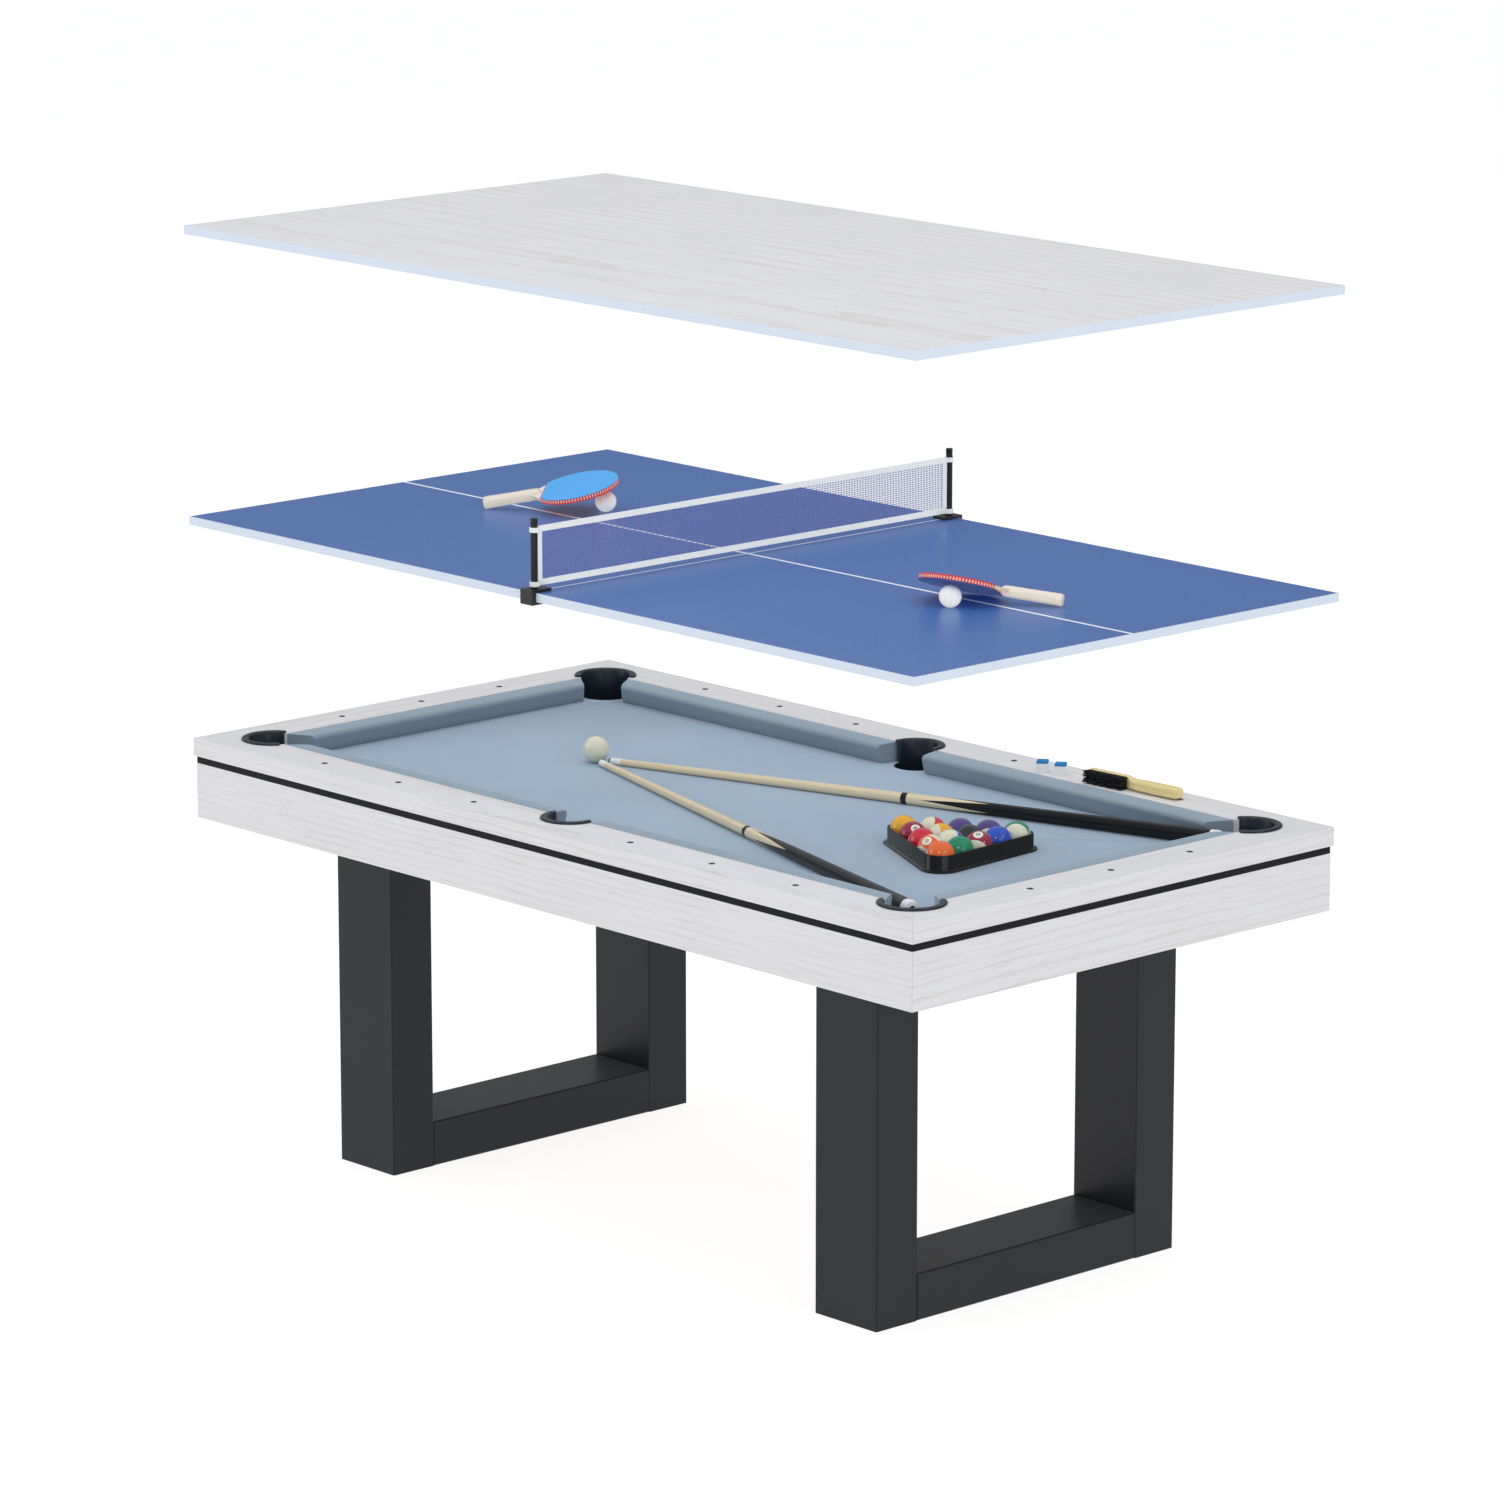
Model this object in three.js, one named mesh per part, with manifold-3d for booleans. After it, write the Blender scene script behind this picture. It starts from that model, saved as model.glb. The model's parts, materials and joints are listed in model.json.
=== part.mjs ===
// A three-in-one games table, exploded: a six-pocket pool table on two U-shaped legs,
// a table-tennis top hanging above it and a dining top above that, with the playing pieces.
// Millimetres, +Z up, origin on the floor under the middle of the table, +X along the table.

import * as THREE from 'three';
import { mergeVertices } from 'three/addons/utils/BufferGeometryUtils.js';
import Module from 'manifold-3d';

const wasm = await Module();
wasm.setup();

// ---------------------------------------------------------------- driving sizes

const TABLE = { length: 1940, width: 1040, height: 800 };
const JOINT_GAP = 0.3;            // between pieces that meet
const INSET = 4;                  // apron and reveal strip behind the rail face

const RAIL = { width: 90, thickness: 34 };
const REVEAL = { height: 14, depth: 36 };
const APRON = { height: 105, thickness: 18 };
const BED = { below: 38, cloth: 2, board: 18, margin: 1 };
const MEMBER = { height: 42, midWidth: 70, midHalf: 380 };

const LEG = { centreX: 654, width: 156, depth: 99, outerY: 371, beam: 86, chamfer: 2 };

// nose: height above the cloth; round: how far the top falls to it; undercut: how far the foot is set back
const CUSHION = { depth: 45, nose: 31, below: 0.5, round: 11, undercut: 9, cornerSplay: 30, sideSplay: 8 };

const CORNER_POCKET = { x: 860, y: 415, bore: 47, flange: 61, opening: 20, clear: 49 };
const SIDE_POCKET = { x: 0, y: 430, bore: 40, flange: 54, opening: 8, clear: 51.5 };
const CUP = { wall: 3, flangeThick: 4, ease: 1, depth: 90 };

const TOP = { thickness: 16, tennisZ: 1223, diningZ: 1769 };

const NET = { postX: 0, postY: 510, postRadius: 6.5, postTop: 131, thickness: 2, low: 9, high: 116 };
const CLAMP = { width: 32, plate: 5, reach: 45, lowerReach: 34, spine: 9 };

const PADDLE = { halfLength: 78, halfWidth: 75, blade: 10, handle: 181, socket: 12, grip: 28, gripThick: 22 };
const TENNIS_BALL = { radius: 20 };

const BALL = { radius: 25.4, pitch: 51, link: 2 };
const CUE_BALL = { x: -425, y: 7 };
const RACK = { x: 545, y: -7, apex: -55.7, wall: 4, clearance: 0.6, height: 31, foot: 7, footThick: 3 };
const CUE = { length: 1280, joint: 636, tip: 6.5, mid: 10.5, butt: 14.5 };
const CHALK = { side: 22, chamfer: 1, turn: 38 };
const BRUSH = { x: 424, y: 456, turn: 3, length: 220, head: 98, back: 12, bristle: 20, tall: 25, margin: 3 };
const BRUSH_GRIP = { width: 24, thick: 20 };

// ---------------------------------------------------------------- heights

const railTop = TABLE.height;
const railBottom = railTop - RAIL.thickness;
const stripBottom = railBottom - REVEAL.height;
const apronBottom = stripBottom - APRON.height;
const clothTop = railTop - BED.below;
const boardTop = clothTop - BED.cloth;
const boardBottom = boardTop - BED.board;
const memberBottom = boardBottom - MEMBER.height;
const halfLength = TABLE.length / 2;
const halfWidth = TABLE.width / 2;
const deg = Math.PI / 180;

// ---------------------------------------------------------------- finishes

function finish(color, roughness, metalness = 0) {
  return () => new THREE.MeshStandardMaterial({ color, roughness, metalness });
}

const FINISH = {
  whitewash: finish(0xdfe0e2, 0.55),
  reveal: finish(0x2b2c31, 0.5),
  charcoal: finish(0x33353a, 0.45),
  board: finish(0xb79f7c, 0.8),
  cloth: finish(0x9db0c6, 0.95),
  cushion: finish(0x748591, 0.95),
  pocket: finish(0x1a1c22, 0.35),
  tennis: finish(0x4a5fa6, 0.4),
  net: finish(0xe8ecf5, 0.8),
  blackPlastic: finish(0x1b1c20, 0.4),
  maple: finish(0xebdcbb, 0.35),
  lacquer: finish(0x17181d, 0.2),
  cream: finish(0xe3e2cb, 0.12),
  white: finish(0xf2f5fa, 0.3),
  phenolic: finish(0xd86a2c, 0.12),
  chalk: finish(0x3d8fd0, 0.9),
  beech: finish(0xe9cf86, 0.5),
  blueRubber: finish(0x4fb8fb, 0.6),
  redRubber: finish(0xc8262e, 0.6),
};

const table = new THREE.Group();

// Adds a named mesh to the table.
function add(name, geometry, material) {
  const mesh = new THREE.Mesh(geometry, material());
  mesh.name = name;
  table.add(mesh);
  return mesh;
}

// ---------------------------------------------------------------- solids

// A manifold solid from a closed three.js geometry.
function solidOf(geometry) {
  const bare = geometry.clone();
  bare.deleteAttribute('normal');
  bare.deleteAttribute('uv');
  const welded = mergeVertices(bare);
  return new wasm.Manifold(new wasm.Mesh({
    numProp: 3,
    vertProperties: new Float32Array(welded.attributes.position.array),
    triVerts: new Uint32Array(welded.index.array),
  }));
}

// A flat-shaded three.js geometry from a manifold solid.
function geometryOf(solid) {
  const mesh = solid.getMesh();
  const indexed = new THREE.BufferGeometry();
  indexed.setAttribute('position', new THREE.BufferAttribute(new Float32Array(mesh.vertProperties), 3));
  indexed.setIndex(new THREE.BufferAttribute(new Uint32Array(mesh.triVerts), 1));
  const flat = indexed.toNonIndexed();
  flat.computeVertexNormals();
  return flat;
}

function cut(geometry, ...tools) {
  return geometryOf(tools.reduce((solid, tool) => solid.subtract(solidOf(tool)), solidOf(geometry)));
}

function join(...geometries) {
  return geometryOf(geometries.map(solidOf).reduce((solid, other) => solid.add(other)));
}

function outline(points) {
  return new THREE.Shape(points.map(([x, y]) => new THREE.Vector2(x, y)));
}

// An upright slab: a flat outline between two heights.
function slab(shape, low, high, curveSegments = 12) {
  const depth = high - low;
  const geometry = new THREE.ExtrudeGeometry(shape, { depth, bevelEnabled: false, curveSegments });
  return geometry.translate(0, 0, low);
}

function block(x0, x1, y0, y1, low, high) {
  return new THREE.BoxGeometry(x1 - x0, y1 - y0, high - low)
    .translate((x0 + x1) / 2, (y0 + y1) / 2, (low + high) / 2);
}

// An upright round drum.
function drum(x, y, radius, low, high, sides = 32) {
  return new THREE.CylinderGeometry(radius, radius, high - low, sides)
    .rotateX(90 * deg)
    .translate(x, y, (low + high) / 2);
}

// A rectangle about the origin with its four corners cut off.
function chamferedRectangle(width, height, chamfer) {
  const x = width / 2;
  const y = height / 2;
  return outline([
    [-x + chamfer, -y], [x - chamfer, -y], [x, -y + chamfer], [x, y - chamfer],
    [x - chamfer, y], [-x + chamfer, y], [-x, y - chamfer], [-x, -y + chamfer],
  ]);
}

// The outline of one of four boards that meet in mitres round a rectangle.
function mitredBoard(side, halfX, halfY, depth) {
  const g = JOINT_GAP;
  if (side === 'near' || side === 'far') {
    const s = side === 'near' ? -1 : 1;
    return outline([
      [-halfX + g, s * halfY], [halfX - g, s * halfY],
      [halfX - depth - g, s * (halfY - depth)], [-halfX + depth + g, s * (halfY - depth)],
    ]);
  }
  const s = side === 'left' ? -1 : 1;
  return outline([
    [s * halfX, -halfY], [s * halfX, halfY],
    [s * (halfX - depth), halfY - depth], [s * (halfX - depth), -halfY + depth],
  ]);
}

const SIDES = ['near', 'far', 'left', 'right'];

// The six pockets: where each is, its sizes, and the way it faces.
const POCKETS = [];
for (const sx of [-1, 0, 1]) {
  for (const sy of [-1, 1]) {
    const kind = sx === 0 ? SIDE_POCKET : CORNER_POCKET;
    const end = { '-1': 'left', 0: 'middle', 1: 'right' }[sx];
    POCKETS.push({
      name: `${sy < 0 ? 'near' : 'far'}_${end}`,
      x: sx * kind.x,
      y: sy * kind.y,
      facing: sx === 0 ? -sy * 90 * deg : Math.atan2(-sy, -sx),
      kind,
    });
  }
}

// ---------------------------------------------------------------- cabinet

function makeAprons() {
  for (const side of SIDES) {
    const shape = mitredBoard(side, halfLength - INSET, halfWidth - INSET, APRON.thickness);
    add(`apron_${side}`, slab(shape, apronBottom, stripBottom), FINISH.whitewash);
  }
}

function makeRevealStrip() {
  const outerX = halfLength - INSET;
  const outerY = halfWidth - INSET;
  const ring = chamferedRectangle(2 * outerX, 2 * outerY, 1);
  ring.holes.push(chamferedRectangle(2 * (outerX - REVEAL.depth), 2 * (outerY - REVEAL.depth), 1));
  add('reveal_strip', slab(ring, stripBottom, railBottom), FINISH.reveal);
}

// A drum for each pocket, as wide as the hole that its cup passes through.
function pocketTools(low, high) {
  return POCKETS.map(({ x, y, kind }) => drum(x, y, kind.bore + CUP.wall + JOINT_GAP, low, high));
}

function makeRails() {
  for (const side of SIDES) {
    const shape = mitredBoard(side, halfLength, halfWidth, RAIL.width);
    const plank = slab(shape, railBottom, railTop);
    add(`rail_${side}`, cut(plank, ...pocketTools(railBottom - 1, railTop + 1)), FINISH.whitewash);
  }
}

// ---------------------------------------------------------------- playing bed

function makeBed() {
  const halfX = halfLength - INSET - REVEAL.depth - BED.margin;
  const halfY = halfWidth - INSET - REVEAL.depth - BED.margin;
  const sheet = (low, high) => cut(
    block(-halfX, halfX, -halfY, halfY, low, high),
    ...pocketTools(low - 1, high + 1),
  );
  add('bed_board', sheet(boardBottom, boardTop), FINISH.board);
  add('bed_cloth', sheet(boardTop, clothTop), FINISH.cloth);
}

// The cushion's section: distance out from the wood, and height.
function cushionSection() {
  const { depth, nose, below, round, undercut } = CUSHION;
  const top = railTop - below;
  const foot = clothTop + JOINT_GAP;
  const noseHeight = clothTop + nose;
  return [
    [JOINT_GAP, foot], [JOINT_GAP, top],
    [depth - round, top - 1], [depth - 0.4 * round, top - 3.5], [depth, noseHeight - 3],
    [depth - 1, noseHeight - 10], [depth - undercut, foot],
  ];
}

// A cushion along X from the wood edge at the origin, thick towards +Y, whose ends are cut on a splay.
function cushionBar(start, end, splayStart, splayEnd) {
  const shape = outline(cushionSection());
  const geometry = new THREE.ExtrudeGeometry(shape, { depth: 1, bevelEnabled: false });
  const position = geometry.attributes.position;
  for (let i = 0; i < position.count; i += 1) {
    const out = position.getX(i);
    const height = position.getY(i);
    const along = position.getZ(i);
    const share = out / CUSHION.depth;
    const from = start + splayStart * share;
    const to = end - splayEnd * share;
    position.setXYZ(i, from + (to - from) * along, out, height);
  }
  geometry.computeVertexNormals();
  return geometry;
}

function makeCushions() {
  const sideStart = SIDE_POCKET.clear;
  const longEnd = CORNER_POCKET.x - CORNER_POCKET.clear;
  const shortEnd = CORNER_POCKET.y - CORNER_POCKET.clear + 2;
  const { cornerSplay, sideSplay } = CUSHION;
  const woodY = halfWidth - RAIL.width;
  const woodX = halfLength - RAIL.width;
  const long = cushionBar(sideStart, longEnd, sideSplay, cornerSplay);
  const short = cushionBar(-shortEnd, shortEnd, cornerSplay, cornerSplay);
  const turn = 180 * deg;
  const rightNear = long.clone().translate(0, -woodY, 0);
  const mirrored = cushionBar(-longEnd, -sideStart, cornerSplay, sideSplay);
  const leftNear = mirrored.clone().translate(0, -woodY, 0);
  add('cushion_near_right', rightNear, FINISH.cushion);
  add('cushion_near_left', leftNear, FINISH.cushion);
  add('cushion_far_left', rightNear.clone().rotateZ(turn), FINISH.cushion);
  add('cushion_far_right', leftNear.clone().rotateZ(turn), FINISH.cushion);
  add('cushion_end_right', short.clone().rotateZ(90 * deg).translate(woodX, 0, 0), FINISH.cushion);
  add('cushion_end_left', short.clone().rotateZ(-90 * deg).translate(-woodX, 0, 0), FINISH.cushion);
}

// A drop-pocket cup: a bucket with a flange on the rail, both open towards the field above the bed.
function pocketCup({ x, y, facing, kind }) {
  const { bore, flange, opening } = kind;
  const outer = bore + CUP.wall;
  const underFlange = railTop + JOINT_GAP;
  const top = underFlange + CUP.flangeThick;
  const bottom = clothTop - CUP.depth;
  const profile = [
    [0, bottom], [outer, bottom], [outer, underFlange], [flange, underFlange],
    [flange, top - CUP.ease], [flange - CUP.ease, top], [bore, top],
    [bore, bottom + CUP.wall], [0, bottom + CUP.wall],
  ].map(([radius, height]) => new THREE.Vector2(radius, height));
  const cup = new THREE.LatheGeometry(profile, 32).rotateX(90 * deg);
  const reach = 2 * flange;
  const doorway = block(opening, reach, -reach, reach, clothTop - 1, top + 1).rotateZ(facing);
  return cut(cup, doorway).translate(x, y, 0);
}

function makePockets() {
  for (const pocket of POCKETS) {
    add(`pocket_${pocket.name}`, pocketCup(pocket), FINISH.pocket);
  }
}

// ---------------------------------------------------------------- underframe and legs

function makeUnderframe() {
  const innerY = halfWidth - INSET - APRON.thickness - JOINT_GAP;
  for (const [name, s] of [['left', -1], ['right', 1]]) {
    const x = s * LEG.centreX;
    const beam = block(x - LEG.width / 2, x + LEG.width / 2, -innerY, innerY, memberBottom, boardBottom);
    add(`cross_member_${name}`, beam, FINISH.board);
  }
  const mid = MEMBER.midWidth / 2;
  const bearer = block(-mid, mid, -MEMBER.midHalf, MEMBER.midHalf, memberBottom, boardBottom);
  add('cross_member_middle', bearer, FINISH.board);
}

function makeLegs() {
  const uprightShape = chamferedRectangle(LEG.width, LEG.depth, LEG.chamfer);
  const beamShape = chamferedRectangle(LEG.width, LEG.beam, LEG.chamfer);
  const uprightY = LEG.outerY - LEG.depth / 2;
  const beamLength = 2 * (LEG.outerY - LEG.depth - JOINT_GAP);
  for (const [end, s] of [['left', -1], ['right', 1]]) {
    for (const [side, t] of [['near', -1], ['far', 1]]) {
      const upright = slab(uprightShape, 0, memberBottom).translate(s * LEG.centreX, t * uprightY, 0);
      add(`leg_${end}_upright_${side}`, upright, FINISH.charcoal);
    }
    const beam = slab(beamShape, 0, beamLength)
      .rotateX(90 * deg)
      .translate(s * LEG.centreX, beamLength / 2, LEG.beam / 2);
    add(`leg_${end}_beam`, beam, FINISH.charcoal);
  }
}

// ---------------------------------------------------------------- conversion tops

function makeTop(name, topZ, material) {
  const seam = JOINT_GAP / 2;
  const low = topZ - TOP.thickness;
  add(`${name}_panel_left`, block(-halfLength, -seam, -halfWidth, halfWidth, low, topZ), material);
  add(`${name}_panel_right`, block(seam, halfLength, -halfWidth, halfWidth, low, topZ), material);
}

// The clip that grips the top's edge: a C seen from its end, open inwards.
function netClamp(side) {
  const g = JOINT_GAP;
  const inside = halfWidth + g;
  const outside = inside + CLAMP.spine;
  const topJaw = TOP.tennisZ + g;
  const lowJaw = TOP.tennisZ - TOP.thickness - g;
  const section = outline([
    [outside, lowJaw - CLAMP.plate], [outside, topJaw + CLAMP.plate],
    [outside - CLAMP.reach, topJaw + CLAMP.plate], [outside - CLAMP.reach, topJaw],
    [inside, topJaw], [inside, lowJaw],
    [outside - CLAMP.lowerReach, lowJaw], [outside - CLAMP.lowerReach, lowJaw - CLAMP.plate],
  ]);
  const geometry = slab(section, -CLAMP.width / 2, CLAMP.width / 2);
  // the section's plane stands up across the table: outline x becomes Y, outline y becomes Z
  geometry.applyMatrix4(new THREE.Matrix4().makeBasis(
    new THREE.Vector3(0, 1, 0), new THREE.Vector3(0, 0, 1), new THREE.Vector3(1, 0, 0),
  ));
  return side < 0 ? geometry.rotateZ(180 * deg) : geometry;
}

function makeNetSet() {
  const plateTop = TOP.tennisZ + JOINT_GAP + CLAMP.plate;
  for (const [name, s] of [['near', -1], ['far', 1]]) {
    add(`net_clamp_${name}`, netClamp(s), FINISH.blackPlastic);
    const post = drum(NET.postX, s * NET.postY, NET.postRadius, plateTop, TOP.tennisZ + NET.postTop, 16);
    add(`net_post_${name}`, post, FINISH.blackPlastic);
  }
  const reach = NET.postY - NET.postRadius - JOINT_GAP;
  const half = NET.thickness / 2;
  const mesh = block(-half, half, -reach, reach, TOP.tennisZ + NET.low, TOP.tennisZ + NET.high);
  add('net', mesh, FINISH.net);
}

// A paddle lying flat about its blade's centre, its handle towards -X.
function paddleGeometry() {
  const disc = new THREE.Shape();
  disc.absellipse(0, 0, PADDLE.halfLength, PADDLE.halfWidth, 0, 360 * deg);
  const blade = slab(disc, -PADDLE.blade / 2, PADDLE.blade / 2, 16);
  const grip = new THREE.Shape();
  grip.absellipse(0, 0, PADDLE.gripThick / 2, PADDLE.grip / 2, 0, 360 * deg);
  const handle = slab(grip, -PADDLE.handle, PADDLE.socket - PADDLE.halfLength, 6).rotateY(90 * deg);
  return join(blade, handle);
}

// How each paddle leans on its ball: blade centre, way the blade points, rise along it, roll about it,
// and where its ball lies in the paddle's own plan (along the blade, out to the near side).
const PADDLES = [
  {
    name: '1', x: -515, y: 44, yaw: 38, pitch: 11, roll: 9,
    ballAlong: 52, ballOut: -4, rubber: FINISH.blueRubber,
  },
  {
    name: '2', x: 575, y: -20, yaw: 212, pitch: 6, roll: 19,
    ballAlong: 8, ballOut: 56, rubber: FINISH.redRubber,
  },
];

// The lowest point of a placed mesh.
function lowestOf(mesh) {
  mesh.updateMatrixWorld(true);
  return new THREE.Box3().setFromObject(mesh, true).min.z;
}

function makePaddles() {
  for (const p of PADDLES) {
    const paddle = add(`paddle_${p.name}`, paddleGeometry(), p.rubber);
    paddle.rotation.set(p.roll * deg, -p.pitch * deg, p.yaw * deg, 'ZYX');
    paddle.position.set(p.x, p.y, 0);
    paddle.position.z = TOP.tennisZ - lowestOf(paddle) + JOINT_GAP;
    const along = new THREE.Vector2(Math.cos(p.yaw * deg), Math.sin(p.yaw * deg));
    const out = new THREE.Vector2(-along.y, along.x).multiplyScalar(p.yaw < 180 ? -1 : 1);
    const ball = add(
      `table_tennis_ball_${p.name}`,
      new THREE.SphereGeometry(TENNIS_BALL.radius, 20, 14).rotateX(90 * deg),
      FINISH.white,
    );
    ball.position.set(
      p.x + along.x * p.ballAlong + out.x * p.ballOut,
      p.y + along.y * p.ballAlong + out.y * p.ballOut,
      TOP.tennisZ + TENNIS_BALL.radius,
    );
  }
}

// ---------------------------------------------------------------- pool pieces

// The middles of the racked balls, row by row from the apex, in the rack's own plan.
function rackRows() {
  const rowStep = BALL.pitch * Math.sin(60 * deg);
  const apexReach = 4 * BALL.pitch / Math.sqrt(3);
  const rows = [];
  for (let row = 0; row < 5; row += 1) {
    const balls = [];
    for (let i = 0; i <= row; i += 1) {
      balls.push([apexReach - row * rowStep, (i - row / 2) * BALL.pitch]);
    }
    rows.push(balls);
  }
  return rows;
}

function placeInRack(mesh) {
  mesh.position.set(RACK.x, RACK.y, clothTop);
  mesh.rotation.z = RACK.apex * deg;
}

function makeRackedBalls() {
  rackRows().forEach((balls, row) => {
    const spheres = balls.map(([x, y]) => new THREE.SphereGeometry(BALL.radius, 16, 10)
      .rotateX(90 * deg)
      .translate(x, y, BALL.radius));
    const solids = [...spheres];
    if (balls.length > 1) {
      const [x, y] = balls[0];
      const link = new THREE.CylinderGeometry(BALL.link, BALL.link, -2 * y, 6);
      solids.push(link.translate(x, 0, BALL.radius));
    }
    placeInRack(add(`ball_row_${row + 1}`, join(...solids), FINISH.phenolic));
  });
}

// A triangle about the racked balls with round corners, so far out from their corner middles.
function roundTriangle(radius, PathType = THREE.Shape) {
  const reach = 4 * BALL.pitch / Math.sqrt(3);
  const path = new PathType();
  for (let corner = 0; corner < 3; corner += 1) {
    const angle = corner * 120 * deg;
    path.absarc(reach * Math.cos(angle), reach * Math.sin(angle), radius, angle - 60 * deg, angle + 60 * deg);
  }
  path.closePath();
  return path;
}

function makeRack() {
  const inner = BALL.pitch / 2 + RACK.clearance;
  const ring = (outer, low, high) => {
    const shape = roundTriangle(outer);
    shape.holes.push(roundTriangle(inner, THREE.Path));
    return slab(shape, low, high, 8);
  };
  const wall = ring(inner + RACK.wall, 0, RACK.height);
  const foot = ring(inner + RACK.wall + RACK.foot, 0, RACK.footThick);
  placeInRack(add('rack', join(wall, foot), FINISH.blackPlastic));
}

function makeCueBall() {
  const ball = add('cue_ball', new THREE.SphereGeometry(BALL.radius, 20, 14).rotateX(90 * deg), FINISH.cream);
  ball.position.set(CUE_BALL.x, CUE_BALL.y, clothTop + BALL.radius);
}

// Where each cue lies on the bed: its tip and the plan direction of its butt.
const CUES = [
  { name: '1', x: -398, y: -6, aim: -17 },
  { name: '2', x: -398, y: 16, aim: 16.5 },
];

function cuePart(points) {
  const profile = points.map(([along, radius]) => new THREE.Vector2(radius, along));
  return new THREE.LatheGeometry(profile, 14).rotateZ(-90 * deg);
}

function makeCues() {
  const { length, joint, tip, mid, butt } = CUE;
  const gap = JOINT_GAP / 2;
  const shaft = cuePart([
    [0, 0], [0, tip - 1.5], [2, tip],
    [joint - gap, mid], [joint - gap, 0],
  ]);
  const handle = cuePart([
    [joint + gap, 0], [joint + gap, mid],
    [length - 4, butt], [length, butt - 3], [length, 0],
  ]);
  for (const cue of CUES) {
    const lean = Math.asin((butt - tip) / length);
    const direction = new THREE.Vector3(
      Math.cos(cue.aim * deg) * Math.cos(lean),
      Math.sin(cue.aim * deg) * Math.cos(lean),
      Math.sin(lean),
    );
    const turn = new THREE.Quaternion().setFromUnitVectors(new THREE.Vector3(1, 0, 0), direction);
    for (const [part, geometry, material] of [
      ['shaft', shaft, FINISH.maple],
      ['butt', handle, FINISH.lacquer],
    ]) {
      const mesh = add(`cue_${cue.name}_${part}`, geometry.clone(), material);
      mesh.quaternion.copy(turn);
      mesh.position.set(cue.x, cue.y, clothTop + tip + JOINT_GAP);
    }
  }
}

function makeChalks() {
  const shape = chamferedRectangle(CHALK.side, CHALK.side, CHALK.chamfer);
  for (const [name, x, y] of [['1', 311, 450], ['2', 350, 458]]) {
    const chalk = add(`chalk_${name}`, slab(shape, 0, CHALK.side), FINISH.chalk);
    chalk.position.set(x, y, railTop);
    chalk.rotation.z = CHALK.turn * deg;
  }
}

// A table brush lying on its side on the far rail, its bristles towards the field.
function makeBrush() {
  const { head, tall, margin } = BRUSH;
  const back = block(0, head, 0, BRUSH.back, 0, tall);
  const bristles = block(margin, head - margin, -BRUSH.bristle, 1, 1, tall - 1);
  const gripLow = (tall - BRUSH_GRIP.thick) / 2;
  const gripNear = BRUSH.back - BRUSH_GRIP.width;
  const grip = block(head - 1, BRUSH.length, gripNear, BRUSH.back, gripLow, gripLow + BRUSH_GRIP.thick);
  const brush = add('brush', join(back, bristles, grip), FINISH.beech);
  brush.position.set(BRUSH.x, BRUSH.y, railTop);
  brush.rotation.z = BRUSH.turn * deg;
}

// ---------------------------------------------------------------- assembly

makeAprons();
makeRevealStrip();
makeRails();
makeBed();
makeCushions();
makePockets();
makeUnderframe();
makeLegs();
makeTop('tennis', TOP.tennisZ, FINISH.tennis);
makeTop('dining', TOP.diningZ, FINISH.whitewash);
makeNetSet();
makePaddles();
makeRackedBalls();
makeRack();
makeCueBall();
makeCues();
makeChalks();
makeBrush();

export default table;
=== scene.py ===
import json
import math

import bmesh
import bpy
from mathutils import Matrix, Vector


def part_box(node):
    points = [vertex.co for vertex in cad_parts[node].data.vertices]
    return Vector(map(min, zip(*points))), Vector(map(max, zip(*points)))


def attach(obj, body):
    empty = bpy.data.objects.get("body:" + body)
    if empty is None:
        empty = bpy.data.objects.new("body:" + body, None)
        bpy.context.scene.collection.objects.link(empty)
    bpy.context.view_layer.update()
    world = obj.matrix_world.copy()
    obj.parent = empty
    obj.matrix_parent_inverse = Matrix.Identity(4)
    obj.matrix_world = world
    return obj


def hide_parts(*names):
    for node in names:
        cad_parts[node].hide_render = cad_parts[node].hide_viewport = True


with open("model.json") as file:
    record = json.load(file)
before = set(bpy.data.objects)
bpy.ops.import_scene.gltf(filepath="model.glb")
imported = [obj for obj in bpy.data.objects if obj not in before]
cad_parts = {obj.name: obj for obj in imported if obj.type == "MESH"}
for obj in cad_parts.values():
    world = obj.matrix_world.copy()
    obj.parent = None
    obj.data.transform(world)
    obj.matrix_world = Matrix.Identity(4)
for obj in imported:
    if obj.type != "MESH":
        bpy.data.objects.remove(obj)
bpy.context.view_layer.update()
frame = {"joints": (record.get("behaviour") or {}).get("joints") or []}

bl_info = {
    "name": "Games table",
    "version": (1, 0, 0),
    "blender": (4, 5, 0),
    "location": "3D View > Sidebar > Games table",
    "description": "Finishes a pool table with a table-tennis top and a dining top, and their playing pieces",
    "category": "Object",
}

MM = 0.001
TURN = 2 * math.pi

# Where the studio camera stands, seen from the table, and what it looks at.
VIEW_AZIMUTH = math.radians(47.29)
VIEW_ELEVATION = math.radians(12.78)
VIEW_DISTANCE = 12.0
VIEW_TARGET = Vector((0.139, -0.122, 0.9))
VIEW_LENS = 160.5

SIDES = ("near", "far", "left", "right")
ENDS = ("left", "right")
POCKETS = [f"{side}_{end}" for side in ("near", "far") for end in ("left", "middle", "right")]

# A pocket's flange and bore radii, and how far round each way its collar reaches, in degrees.
MIDDLE_POCKET = (54 * MM, 40 * MM, 98.0)
CORNER_POCKET = (61 * MM, 47 * MM, 108.5)
POCKET_WALL = 3 * MM
# How far apart the sights are along the long rails and along the end rails.
SIGHT_SPACING = 212 * MM
END_SIGHT_SPACING = 197 * MM


# ---------------------------------------------------------------- colours and sizes


def linear(hex_colour):
    """Linear red, green and blue from an sRGB hex colour."""
    channels = [int(hex_colour[i:i + 2], 16) / 255 for i in (1, 3, 5)]
    return tuple(c / 12.92 if c <= 0.04045 else ((c + 0.055) / 1.055) ** 2.4 for c in channels)


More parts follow.
